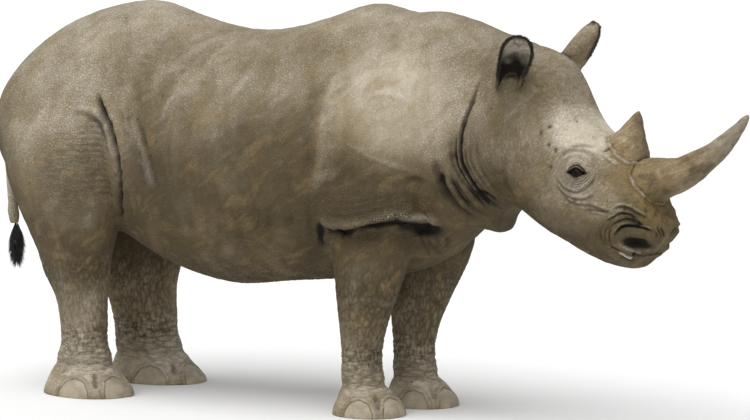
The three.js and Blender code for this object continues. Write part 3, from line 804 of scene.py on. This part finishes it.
def fine_relief():
    """Undulations of the body's skin at a slant, and finer ones on the head."""
    p = hide.p
    head = smoothstep(-0.40, -0.20, ahead_of_eyes())
    slant = tilted(p, 0.53, 0.85)
    slant += 0.02 * drift(p * 6, 51)
    body = noise(slant * (14, 34, 38), 55) + 0.6 * noise(slant * (26, 62, 66), 56)
    push[:] += 0.0013 * body * (1 - head) * (1 - 0.5 * smoothstep(0.75, 0.55, p[:, 2]))
    pick = np.flatnonzero(head > 0.02)
    q = p[pick] + 0.010 * drift(p[pick] * 14, 61)
    web = np.abs(clouds(q * 26, 3, 64))
    line = peak(web, 0.11)
    mould(pick, (0.0008 * np.minimum(web, 0.6) - 0.0013 * line) * head[pick],
          0.18 * line * head[pick] * smoothstep(-0.2, 0.5, noise(p[pick] * 8, 66)))


# ---- marks that the materials read
def distances(points, others):
    """How far each point is from the nearest of the others."""
    tree = KDTree(len(others))
    for i, p in enumerate(others):
        tree.insert(p, i)
    tree.balance()
    return np.array([tree.find(p)[2] for p in points])


def ear_marks():
    """Painted shade deep in the ears' cups, pale at their tips, black on their rims. Returns where the rims'
    hair grows.
    """
    rims = []
    n = hide.smooth_normals()
    for side in SIDES:
        name = "ear_" + SIDE_NAME[side]
        lo, hi = box(name)
        pick = within(lo, hi, 0.01)
        p = hide.p[pick]
        off_ear, off_rim = distances(p, rounded(name, 3)[0]), distances(p, rim_points(name))
        height = (p[:, 2] - lo[2]) / (hi[2] - lo[2])
        heading = math.radians(EAR_HEADING[side])
        opens = n[pick] @ vec(math.cos(heading), math.sin(heading), 0.45)
        on_ear = 1 - smoothstep(0.008, 0.013, off_ear)
        inside = smoothstep(0.05, 0.30, opens) * smoothstep(0.10, 0.125, height) * on_ear
        inside *= smoothstep(0.008, 0.022, off_rim)
        deep = 1 - smoothstep(0.40, 0.78, height + 0.10 * noise(p * 30, 91))
        edge = np.exp(-(off_rim / RIM[side])**3) * smoothstep(0.16, 0.30, height) * on_ear
        # the cups' depths are darkened as painted shade; the rims' black is their own colour
        mould(pick, 0.0, 1.3 * inside * deep + 0.9 * edge, 0.62 * inside * (1 - deep))
        rims.append((side, pick[(edge > 0.75) & (height > 0.3)], (lo + hi) / 2))
    return rims


def tones():
    """How pale the skin is: paler on top and at the feet, dark and brown below, partly dust and dirt and
    partly painted light and shade.
    """
    up = hide.smooth_normals()[:, 2]
    tone_and_painted_light = np.interp(hide.p[:, 2], SHADE_HEIGHTS, SHADES)
    # painted light and shade: paler where the skin faces up, darker where it faces down
    tone_and_painted_light += 0.32 * smoothstep(0.0, 0.9, up) - 0.12 * smoothstep(0.0, -0.6, up)
    for place, patches in ((vec, SHADE_PATCHES), (head_point, HEAD_PATCHES)):
        for (x, across, z, *reach, amount), side in product(patches, SIDES):
            tone_and_painted_light += amount * region(place(x, side * across, z), reach)
    tone_and_painted_light += 0.10 * clouds(hide.p * (2.6, 2.6, 1.7), 3, 41) + 0.05 * clouds(hide.p * 9.0, 2, 45)
    return np.clip(tone_and_painted_light, 0, 1)


def textures():
    """Where the skin is finely pleated across, lined upright and crinkled, and how deep its pebbles are."""
    z, ahead = hide.p[:, 2], ahead_of_eyes()
    head = smoothstep(-0.40, -0.15, ahead)
    pleated = 0.30 * (1 - smoothstep(0.75, 0.95, z)) * (1 - head)
    upright = np.zeros(len(z))
    crinkled = 0.7 * smoothstep(-0.80, -0.35, ahead) + 0.3 * head
    pebbled = (0.46 + 0.10 * (1 - smoothstep(0.55, 0.75, z))) * (1 - 0.80 * head)
    for side in SIDES:
        pleated += 0.60 * region((-1.20, side * 0.52, 1.00), (0.25, 0.30, 0.27))
        pleated += 0.16 * region((-1.30, side * 0.42, 1.20), (0.45, 0.40, 0.40))
        upright += region((0.86, side * 0.27, 1.12), (0.17, 0.20, 0.26))
        crinkled -= 0.55 * region(head_point(0.0, side * 0.10, 0.15), (0.16, 0.14, 0.14))
        pebbled -= 0.28 * region((0.32, side * 0.36, 1.34), (0.42, 0.40, 0.36))
        pebbled += 0.9 * region((0.24, side * 0.38, 0.905), (0.36, 0.30, 0.085))
        pebbled += 0.5 * region((0.34, side * 0.30, 0.74), (0.22, 0.30, 0.10))
    pleated += 0.30 * between(0.05, 0.12, 0.20, 0.34, z)
    crinkled *= (1 - 0.8 * np.minimum(upright, 1)) * (1 - 0.5 * smoothstep(0.10, 0.25, ahead))
    pebbled *= 0.30 + 0.70 * smoothstep(0.55, 0.85, z)
    return np.clip(np.stack([pleated, upright, crinkled, pebbled], 1), 0, 1)


# ---- materials
class Nodes:
    """Short way to build a material's node tree."""

    def __init__(self, name):
        self.material = bpy.data.materials.new(name)
        self.material.use_nodes = True
        self.tree = self.material.node_tree

    @cached_property
    def where(self):
        """Place in the object's own space."""
        return self.add("TexCoord", out=3)

    def put(self, socket, value):
        if isinstance(value, bpy.types.NodeSocket):
            self.tree.links.new(value, socket)
        elif value is not None:
            socket.default_value = value

    def add(self, kind, *inputs, out=0, **named):
        """A node with its inputs in order or by name, and its settings, which have names in small letters."""
        node = self.tree.nodes.new("ShaderNode" + kind)
        for which, value in [*enumerate(inputs), *named.items()]:
            if isinstance(which, int) or which.istitle():
                self.put(node.inputs[which], value)
            else:
                setattr(node, which, value)
        return node.outputs[out]

    def math(self, operation, *values):
        return self.add("Math", *values, operation=operation)

    def times(self, *factors):
        """The product of sockets and numbers, and of ramps that are given as (value, low, high)."""
        first, *more = [self.ramp(*factor) if isinstance(factor, tuple) else factor for factor in factors]
        for factor in more:
            first = self.math("MULTIPLY", first, factor)
        return first

    def mix(self, factor, a, b):
        node = self.tree.nodes.new("ShaderNodeMix")
        node.data_type, node.clamp_factor = "RGBA", True
        sockets = {socket.identifier: socket for socket in node.inputs}
        for name, value in (("Factor_Float", factor), ("A_Color", a), ("B_Color", b)):
            self.put(sockets[name], (*value, 1) if isinstance(value, tuple) else value)
        return next(s for s in node.outputs if s.identifier == "Result_Color")

    def coats(self, color, *layers):
        """Lays one paint after the other over a colour, each as strong as the product of its amounts."""
        for paint, *amounts in layers:
            color = self.mix(self.times(*amounts), color, paint)
        return color

    def ramp(self, value, low, high):
        """0 below low, 1 above high."""
        return self.add("MapRange", value, low, high, 0.0, 1.0, interpolation_type="SMOOTHSTEP")

    def stretched(self, where, size):
        return self.add("VectorMath", where, size, operation="MULTIPLY")

    def noise(self, where, scale, detail=3.0, rough=0.55, twist=0.0, out=0):
        """Noise with a scale that may be different for each axis."""
        if isinstance(scale, tuple):
            where, scale = self.stretched(where, scale), 1.0
        return self.add("TexNoise", out=out, Vector=where, Scale=scale, Detail=detail, Roughness=rough,
                        Distortion=twist)

    def voronoi(self, where, scale, feature="DISTANCE_TO_EDGE"):
        return self.add("TexVoronoi", Vector=where, Scale=scale, feature=feature)

    def furrows(self, where, scale, detail=3.0):
        """0 along winding lines, rising on both sides of them."""
        winding = self.noise(where, scale, detail, 0.6)
        return self.math("ABSOLUTE", self.math("MULTIPLY_ADD", winding, 4.0, -2.0))

    def attribute(self, name):
        """The four channels of a colour kept at the mesh's points."""
        color = self.add("Attribute", attribute_name=name)
        split = self.add("SeparateColor", color).node
        return (*split.outputs, color.node.outputs["Alpha"])

    def turned(self, where, degrees):
        """Turned about the Y axis, so that a stretch runs at a slant over the sides."""
        return self.add("VectorRotate", where, None, None, math.radians(degrees), rotation_type="Y_AXIS")

    def relief(self, *layers):
        """One bump over the other, each given as height, depth in metres and strength."""
        normal = None
        for height, depth, strength in layers:
            normal = self.add("Bump", Height=height, Distance=depth, Strength=strength, Normal=normal)
        return normal

    def surface(self, color, rough, normal=None, specular=0.5):
        shader = self.tree.nodes["Principled BSDF"]
        for name, value in (("Base Color", color), ("Roughness", rough), ("Normal", normal),
                            ("Specular IOR Level", specular)):
            self.put(shader.inputs[name], value)
        return self.material


def leather():
    """Hide: pebbled grey-brown skin, pale with dust and painted light, stained ochre, with folds darkened by
    dirt and painted shade.
    """
    m = Nodes("rhinoceros_skin")
    ochre, dark, pale, tone_and_painted_light = m.attribute("marks")
    pleated, upright, crinkled, pebbled = m.attribute("texture")
    warp = m.add("VectorMath", m.noise(m.where, 12.0, out=1), (0.022,) * 3, m.where, operation="MULTIPLY_ADD")
    slant = m.turned(warp, 38)
    pebble = m.voronoi(m.stretched(slant, (0.60, 1, 1)), 118.0)
    grain = m.voronoi(warp, 210.0)
    fleck = m.voronoi(warp, 8.0, "F1")
    pleats = m.furrows(warp, (15, 15, 78))
    web = m.furrows(warp, 24.0, 5.0)
    crinkle = m.furrows(m.turned(warp, 40), (24, 80, 80))
    stripes = m.furrows(warp, (86, 86, 18))
    bands = m.noise(m.turned(m.where, 8), (9.0, 9.0, 2.2), 4.0, 0.6, 0.5)
    mottle = m.noise(slant, (5.5, 15, 15), 5.0, 0.64, 0.5)
    cloud = m.noise(m.where, 3.1, 4.0, 0.6, 0.8)
    sand = m.noise(m.where, 115.0, 4.0, 0.75)
    dust = m.noise(m.where, 33.0, 4.0, 0.65, 0.4)
    # dust shows least where the skin is dark, also where that darkness is painted shade
    airy = m.math("MULTIPLY_ADD", tone_and_painted_light, 1.1, 0.12)      # dust shows least where the skin is dark
    uneven = m.times(pebbled, (m.noise(m.where, 5.0), 0.30, 0.62))
    rough_skin = m.math("MULTIPLY_ADD", 0.75, m.math("SUBTRACT", pebbled, uneven), uneven)

    color = m.coats(
        (0.060, 0.043, 0.018),
        # mid and pale skin by the tone, which carries painted light and shade as well as dust
        ((0.285, 0.230, 0.143), (tone_and_painted_light, -0.04, 0.6)),
        ((0.680, 0.610, 0.485), (tone_and_painted_light, 0.3, 1.1)),
        # dusty streaks, and brown ones
        ((0.56, 0.51, 0.42), (bands, 0.44, 0.78), airy, 0.5),
        ((0.150, 0.108, 0.052), (bands, 0.56, 0.26), 0.42),
        # tan clouds, then tan and dusty mottles
        ((0.300, 0.215, 0.110), (cloud, 0.50, 0.68), 0.30),
        ((0.300, 0.215, 0.105), (mottle, 0.50, 0.70), 0.42),
        ((0.54, 0.49, 0.40), (mottle, 0.50, 0.28), airy, 0.50),
        # stains, and pale places of the marks: dust and pale rims, with painted highlight on lips and ridges
        ((0.235, 0.160, 0.062), ochre, (dust, 0.25, 0.62)),
        ((0.70, 0.65, 0.55), pale, (dust, 0.25, 0.55)),
        # light and dark grains
        ((0.66, 0.60, 0.47), (sand, 0.53, 0.72), airy, 0.28),
        ((0.110, 0.085, 0.048), (sand, 0.47, 0.30), 0.20),
        # lines round the pebbles, and their tops
        ((0.080, 0.060, 0.032), (pebble, 0.32, 0.0), rough_skin, 1.25),
        ((0.62, 0.56, 0.45), (pebble, 0.25, 0.50), airy, 0.06),
        # fine cracks
        ((0.075, 0.055, 0.028), (web, 0.14, 0.0), 0.10),
        # brown specks, then the furrows of each kind
        ((0.150, 0.112, 0.066), crinkled, (dust, 0.52, 0.68), 0.38),
        ((0.070, 0.054, 0.032), (crinkle, 0.45, 0.0), crinkled, 0.42),
        ((0.070, 0.054, 0.032), (stripes, 0.45, 0.0), upright, 0.48),
        ((0.060, 0.046, 0.025), (pleats, 0.30, 0.0), pleated, 0.55),
        # few dark flecks
        ((0.040, 0.030, 0.018), (fleck, 0.060, 0.035), 0.65),
        # dark of the marks: dirt and painted shade in folds, pits, nostrils, the eyes' openings and the ears'
        # cups, and the ears' black rims and specks of mud
        ((0.011, 0.008, 0.005), dark))
    normal = m.relief((m.times((pleats, 0.0, 0.35), pleated), 0.0040, 0.8),
                      (m.ramp(web, 0.0, 0.18), 0.0010, 0.6),
                      (m.times((crinkle, -0.1, 1.1), crinkled), 0.0050, 0.8),
                      (m.times((stripes, -0.1, 1.1), upright), 0.0050, 0.8),
                      (m.times((pebble, 0.0, 0.42), rough_skin), 0.0070, 0.9),
                      (m.ramp(grain, 0.0, 0.35), 0.0006, 0.6),
                      (sand, 0.0012, 0.6))
    return m.surface(color, m.add("MapRange", sand, 0.0, 1.0, 0.66, 0.92), normal, 0.18)


def horn_material():
    """Matted fibre: tan with ochre and grey patches, fine lengthwise strands, pale frayed rims."""
    m = Nodes("horn")
    tip, dark, pale, foot = m.attribute("marks")
    along = m.turned(m.where, 27)
    fibre = m.noise(along, (18, 170, 170), 5.0, 0.7, 0.4)
    patch = m.noise(along, (6, 11, 11), 5.0, 0.6, 0.8)
    spot = m.noise(along, (20, 34, 34), 5.0, 0.65, 0.5)
    grit = m.noise(m.where, 105.0, 4.0, 0.7)
    cracks = m.furrows(along, (9.6, 45.6, 45.6), 4.0)
    color = m.coats(
        (0.290, 0.225, 0.130),
        ((0.205, 0.142, 0.064), (patch, 0.34, 0.62)),
        ((0.52, 0.45, 0.32), (fibre, 0.50, 0.72), 0.50),
        ((0.115, 0.078, 0.036), (fibre, 0.48, 0.30), 0.55),
        # greyer tip
        ((0.255, 0.225, 0.170), tip, 0.7),
        ((0.125, 0.083, 0.035), (spot, 0.50, 0.66), 0.62),
        ((0.52, 0.46, 0.35), (spot, 0.46, 0.30), 0.40),
        # stained foot
        ((0.185, 0.128, 0.050), foot, (grit, 0.85, 0.45)),
        ((0.085, 0.060, 0.026), foot, (spot, 0.47, 0.60), 0.75),
        # frayed rim
        ((0.66, 0.60, 0.48), pale, (fibre, 0.35, 0.60)),
        ((0.56, 0.49, 0.36), (grit, 0.54, 0.74), 0.22),
        ((0.075, 0.050, 0.024), (cracks, 0.10, 0.0), 0.14),
        # dark patches, painted shade on the undersides, and the rear horn's darker front
        ((0.060, 0.042, 0.022), dark))
    normal = m.relief((fibre, 0.0030, 0.7), (m.ramp(cracks, 0.0, 0.14), 0.0012, 0.6), (grit, 0.0014, 0.7))
    return m.surface(color, m.add("MapRange", grit, 0.0, 1.0, 0.5, 0.75), normal, 0.35)


def nail_material():
    m = Nodes("toenail")
    rings = m.noise(m.where, (9.6, 9.6, 144), 3.0, 0.6, 0.5)
    grit = m.noise(m.where, 150.0, 3.0, 0.6)
    patch = m.noise(m.where, 16.0, 3.0, 0.6)
    color = m.coats(
        (0.270, 0.225, 0.152),
        ((0.370, 0.318, 0.232), (patch, 0.35, 0.65)),
        ((0.235, 0.185, 0.115), (rings, 0.5, 0.7), 0.35),
        ((0.42, 0.39, 0.32), (grit, 0.55, 0.75), 0.4))
    return m.surface(color, 0.55, m.relief((rings, 0.0015, 0.4), (grit, 0.0006, 0.5)))


def hair_material():
    m = Nodes("black_hair")
    strand = m.noise(m.where, 300.0, 2.0)
    return m.surface(m.mix(m.ramp(strand, 0.4, 0.7), (0.008, 0.007, 0.006), (0.03, 0.024, 0.018)), 0.5)


def eye_material():
    """A black pupil in a dark brown iris, in the eyeball's own space where Z is the way that it looks."""
    m = Nodes("eye")
    off_axis = m.add("VectorMath", m.stretched(m.where, (1, 1, 0)), out=1, operation="LENGTH")
    streak = m.noise(m.where, 900.0)
    iris = m.mix(m.ramp(streak, 0.35, 0.7), (0.004, 0.003, 0.002), (0.013, 0.008, 0.004))
    color = m.coats((0.001, 0.001, 0.001), (iris, m.ramp(off_axis, 0.0060, 0.0072)),
                    ((0.008, 0.006, 0.005), m.ramp(off_axis, 0.0165, 0.0195)))
    return m.surface(color, 0.16, specular=0.12)


# ---- stage
FLOOR_HALF = 200.0                  # half the floor's width
FLOOR_GREY, WORLD_STRENGTH = 0.86, 0.43
SUNS = (                            # name, turn in degrees, strength, and how many degrees wide it is
    ("key", (20, -10, 0), 2.35, 60), ("fill", (66, 0, 28), 0.95, 70), ("back", (-38, 22, 0), 0.25, 40))


def stage_and_camera():
    scene = bpy.context.scene
    camera = add_object("camera", bpy.data.cameras.new("camera"))
    a, e = math.radians(CAMERA_AZIMUTH), math.radians(CAMERA_HEIGHT)
    back = Vector((math.sin(a) * math.cos(e), -math.cos(a) * math.cos(e), math.sin(e)))
    camera.location = Vector(LOOK_AT) + back * CAMERA_DISTANCE
    camera.rotation_euler = (-back).to_track_quat("-Z", "Y").to_euler()
    camera.data.lens, camera.data.sensor_width = LENS, SENSOR
    camera.data.clip_end = 1000
    scene.camera = camera

    corners = FLOOR_HALF * np.array([(-1, -1, 0), (1, -1, 0), (1, 1, 0), (-1, 1, 0)])
    floor = add_object("floor", mesh_of(corners, np.array([[0, 1, 2, 3]]), "floor"))
    floor.data.materials.append(Nodes("paper").surface((FLOOR_GREY,) * 3 + (1,), 0.9))

    world = bpy.data.worlds.new("studio")
    world.use_nodes = True
    background = world.node_tree.nodes["Background"]
    background.inputs["Color"].default_value = (1, 1, 1, 1)
    background.inputs["Strength"].default_value = WORLD_STRENGTH
    scene.world = world
    scene.view_settings.view_transform = "Standard"
    for name, turn, strength, softness in SUNS:
        light = add_object(name, bpy.data.lights.new(name, "SUN"))
        light.data.energy, light.data.angle = strength, math.radians(softness)
        light.rotation_euler = [math.radians(t) for t in turn]


# ---- pieces
HAIRS_ON_EAR, HAIRS_ON_TAIL = 1500, 1100
HAIR_RINGS = (0.0, 0.35, 0.7)       # parts of a hair's length where it has three corners


def refine(chosen):
    """Halves the mesh's spacing on the chosen points' faces, and keeps the marks."""
    global hide, push, marks
    mesh = hide.mesh
    keep_color(mesh, "kept", np.c_[marks, np.ones(len(marks))])
    bm = bmesh.new()
    bm.from_mesh(mesh)
    bm.edges.ensure_lookup_table()
    edges = [bm.edges[i] for i in np.flatnonzero(chosen[hide.a] & chosen[hide.b])]
    bmesh.ops.subdivide_edges(bm, edges=edges, cuts=1, use_grid_fill=True)
    bm.to_mesh(mesh)
    bm.free()
    marks = read(mesh.attributes["kept"].data, "color", 4)[:, :3]
    mesh.attributes.remove(mesh.attributes["kept"])
    hide = Hide(mesh)
    push = np.zeros(len(hide.p))


def shaped(name, node, slot, material, steps, voxel, relaxing=4, detail=None):
    """A CAD solid made round and fine, as a piece of its own."""
    made = Hide(remeshed(*rounded(node, steps), voxel))
    made.relax(relaxing)
    made.settle()
    if detail:
        detail(made)
    made.stand_on_floor()
    return add_piece(name, made.mesh, material, slot, node)


def horn_detail(made):
    """Fibres run up the horn; its foot is frayed and pale, its tip greyer."""
    p = made.p
    lo, hi = p.min(0), p.max(0)
    front = hi[0] - lo[0] > 0.3                     # the front horn is the long one
    across = (hi - lo) * (1, 0, 1)
    t = (p - lo) @ across / (across**2).sum()       # from foot to tip
    q = tilted(p, 0.90, 0.43)
    ribs = noise(q * (9, 60, 60), 81) + 0.6 * noise(q * (16, 120, 120), 82)
    thinner = 0.001 if front else 0.005
    made.p += made.n * (0.0016 * ribs + 0.004 * clouds(p * 12, 3, 83) * (1 - t) - thinner)[:, None]
    patchy = clouds(p * 20, 3, 85)
    # dark patches, and painted shade where the horn faces down
    dark = 0.45 * smoothstep(0.2, 0.9, patchy) + 0.45 * smoothstep(0.1, -0.9, made.n[:, 2])
    pale = 0.6 * smoothstep(0.10, 0.02, t) * smoothstep(-0.2, 0.6, ribs)
    if front:
        tip = smoothstep(0.50, 0.75, t)
        ochre = 0.9 * smoothstep(0.42, 0.16, t) + 0.8 * peak(t, 0.06, 0.50) * smoothstep(-0.3, 0.4, patchy)
    else:
        tip = 0 * t
        ochre = 0.55 * smoothstep(-0.2, 0.8, patchy)
        dark += 0.40 * smoothstep(0.1, 0.9, made.n[:, 0])
    keep_color(made.mesh, "marks", np.clip(np.stack([tip, dark, pale, ochre], 1), 0, 1))


def eyeball(side, material):
    bm = bmesh.new()
    bmesh.ops.create_uvsphere(bm, u_segments=64, v_segments=48, radius=EYE_RADIUS)
    name = SIDE_NAME[side]
    obj = add_piece("eyeball_" + name, mesh_from(bm, "eyeball"), material, "eye", "eye_" + name)
    obj.location = EYE[side]
    obj.rotation_euler = Vector(eye_axis(side)).to_track_quat("Z", "Y").to_euler()


def tufts(name, roots, directions, lengths, radius, droop, material, *replaced):
    """Thin three-sided hairs that taper to a point, in one mesh, with their places on the skin as UVs."""
    directions = unit(directions)
    side = unit(np.cross(directions, (0.31, 0.52, 0.79)))       # across, by a direction that no hair has
    other = np.cross(directions, side)
    points = []
    for t in HAIR_RINGS:
        spine = roots + directions * (lengths * t)[:, None] + droop * (t * t)
        for k in range(3):
            turn = 2 * math.pi * k / 3
            points.append(spine + (side * math.cos(turn) + other * math.sin(turn)) * radius * (1 - 0.75 * t))
    points.append(roots + directions * lengths[:, None] + droop)
    points = np.stack(points, 1).reshape(-1, 3)
    tip = 3 * len(HAIR_RINGS)
    one = [(0, 2, 1)]
    for start in range(0, tip - 3, 3):
        for k in range(3):
            a, b = start + k, start + (k + 1) % 3
            one += [(a, b, b + 3), (a, b + 3, a + 3)]
    one += [(tip - 3 + k, tip - 3 + (k + 1) % 3, tip) for k in range(3)]
    faces = repeated(one, len(roots), tip + 1)
    mesh = mesh_of(points, faces, name)
    smooth_shade(mesh)

    lo, hi = (np.array(c) for c in CAD_BOX)
    at = (roots - lo) / (hi - lo)
    unwrap = np.stack([at[:, 0], np.arctan2(at[:, 1] - 0.5, at[:, 2] - 0.5) / (2 * math.pi) + 0.5], 1)
    corner = np.array([(k % 3, k // 3) for k in range(tip + 1)]) / 4 * 0.003
    uv = (unwrap[:, None] + corner[None]).reshape(-1, 2)
    layer = mesh.uv_layers.new(name="OFBake")
    layer.data.foreach_set("uv", uv[faces.ravel()].astype(np.float32).ravel())
    add_piece(name, mesh, material, "hair", *replaced)


def ear_fringe(rims, material):
    chance = np.random.default_rng(5)
    for side, rim, centre in rims:
        roots = hide.p[chance.choice(rim, HAIRS_ON_EAR)]
        outward = unit(roots - centre)
        directions = outward + vec(0, 0, 0.25) + chance.normal(0, 0.35, (HAIRS_ON_EAR, 3))
        lengths = chance.uniform(0.005, 0.012, HAIRS_ON_EAR)
        if side == LEFT:        # shorter at the pointed tip
            lengths *= 1 - 0.4 * smoothstep(-0.03, 0, roots[:, 2] - roots[:, 2].max())
        tufts("ear_fringe_" + SIDE_NAME[side], roots - outward * 0.002, directions, lengths, 0.0008,
              vec(0, 0, -0.001), material)


def tail_hair(material):
    """Coarse hair on both edges of the tail's end, hanging past it."""
    chance = np.random.default_rng(9)
    lo, hi = box("tail_tuft")
    centre, size = (lo + hi) / 2, hi - lo
    t = chance.uniform(0, 1, HAIRS_ON_TAIL)
    turn = chance.uniform(0, 2 * math.pi, HAIRS_ON_TAIL)
    wide = 0.30 * np.sin(np.clip(t * 1.1, 0, 1) * math.pi * 0.8 + 0.3)
    roots = np.stack([centre[0] + size[0] * wide * np.cos(turn), centre[1] + size[1] * wide * np.sin(turn),
                      hi[2] - size[2] * 0.78 * t], 1)
    spread = np.stack([np.cos(turn) * 0.32, np.sin(turn) * 0.20, np.full(HAIRS_ON_TAIL, -1.0)], 1)
    spread += chance.normal(0, 0.10, (HAIRS_ON_TAIL, 3))
    lengths = chance.uniform(0.04, 0.09, HAIRS_ON_TAIL) * (1 - 0.35 * t)
    lengths = np.minimum(lengths, (roots[:, 2] - lo[2]) * 1.05 + 0.006)
    tufts("tail_hair", roots, spread, lengths, 0.0013, vec(0, 0, -0.004), material, "tail_tuft")


# ---- the model, from rough to fine
horn_look, nail_look, hair_look, eye_look = horn_material(), nail_material(), hair_material(), eye_material()
horns = {node: shaped("fibrous_" + node, node, "horn", horn_look, 6, HORN_VOXEL, 3, horn_detail)
         for node in ("horn_front", "horn_rear")}
for leg, toe in product(LEGS, TOES):
    shaped(f"nail_{leg}_{toe}", f"toenail_{leg}_{toe}", "toenail", nail_look, 5, NAIL_VOXEL)

hide = Hide(remeshed(*joined([rounded(node, 4, SWELL) for node in FLESH]), VOXEL))
hide.relax(8)
hide.settle()
hide.p -= hide.n * SWELL
push = np.zeros(len(hide.p))            # how far folds and bumps move each point outwards
# dark holds dirt and painted shade, pale holds dust, pale rims and painted highlight
marks = np.zeros((len(hide.p), 3))      # ochre, dark, pale
soften_joins()
skin = add_object("skin", hide.mesh)
bpy.context.view_layer.update()
thigh_and_flank()
shoulder()
settle()

# head, neck and the apron's edge get a mesh twice as fine, and muzzle and eyes one that is four times so
over_leg = (np.abs(hide.p - (0.24, 0, 0.82)) < (0.30, 1, 0.085)).all(1) & (np.abs(hide.p[:, 1]) > 0.11)
refine((ahead_of_eyes() > -0.57) | over_leg)
apron()
neck_and_chest()
settle()
muzzle = (ahead_of_eyes() > 0.09) & (hide.p[:, 2] - EYES_MIDDLE[2] < -0.12)
eyes = sum(((hide.p - EYE[side])**2).sum(1) < 0.075**2 for side in SIDES).astype(bool)
refine(muzzle | eyes)
hide.relax(2)
hide.settle()
bpy.context.view_layer.update()

for side in SIDES:
    eye_socket(side)
settle()
# lower lip, corner of the dewlap, and tip of the left ear
draw_back(head_point(0.285, 0.0, -0.375), (0.085, 0.17, 0.055), vec(0, 0, 0.002) - 0.042 * HEAD_FORWARD)
draw_back((0.700, -0.02, 0.825), (0.050, 0.15, 0.045), vec(0.006, 0.0, -0.018))
ear = hide.p[within(*box("ear_left"), 0.01)]
pinch(ear[ear[:, 2].argmax()], 0.050, 0.75)
hide.settle()
head_folds()
muzzle_folds()
settle()
for side in SIDES:
    nostril(side)
    lips(side)
settle()
collar(horns["horn_front"], 0.006, 0.06, 1.3)
collar(horns["horn_rear"], 0.006, 0.02, 1.3)
for leg in LEGS:
    toes(leg)
settle()
wrinkles()
fine_relief()
settle()
bpy.context.view_layer.update()
rims = ear_marks()
hide.stand_on_floor()
keep_color(hide.mesh, "marks", np.c_[np.clip(marks, 0, 1), tones()])
keep_color(hide.mesh, "texture", textures())

hide.mesh.materials.append(leather())
stage_and_camera()
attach(skin, "root")
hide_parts(*FLESH)
ear_fringe(rims, hair_look)
tail_hair(hair_look)
for side in SIDES:
    eyeball(side, eye_look)
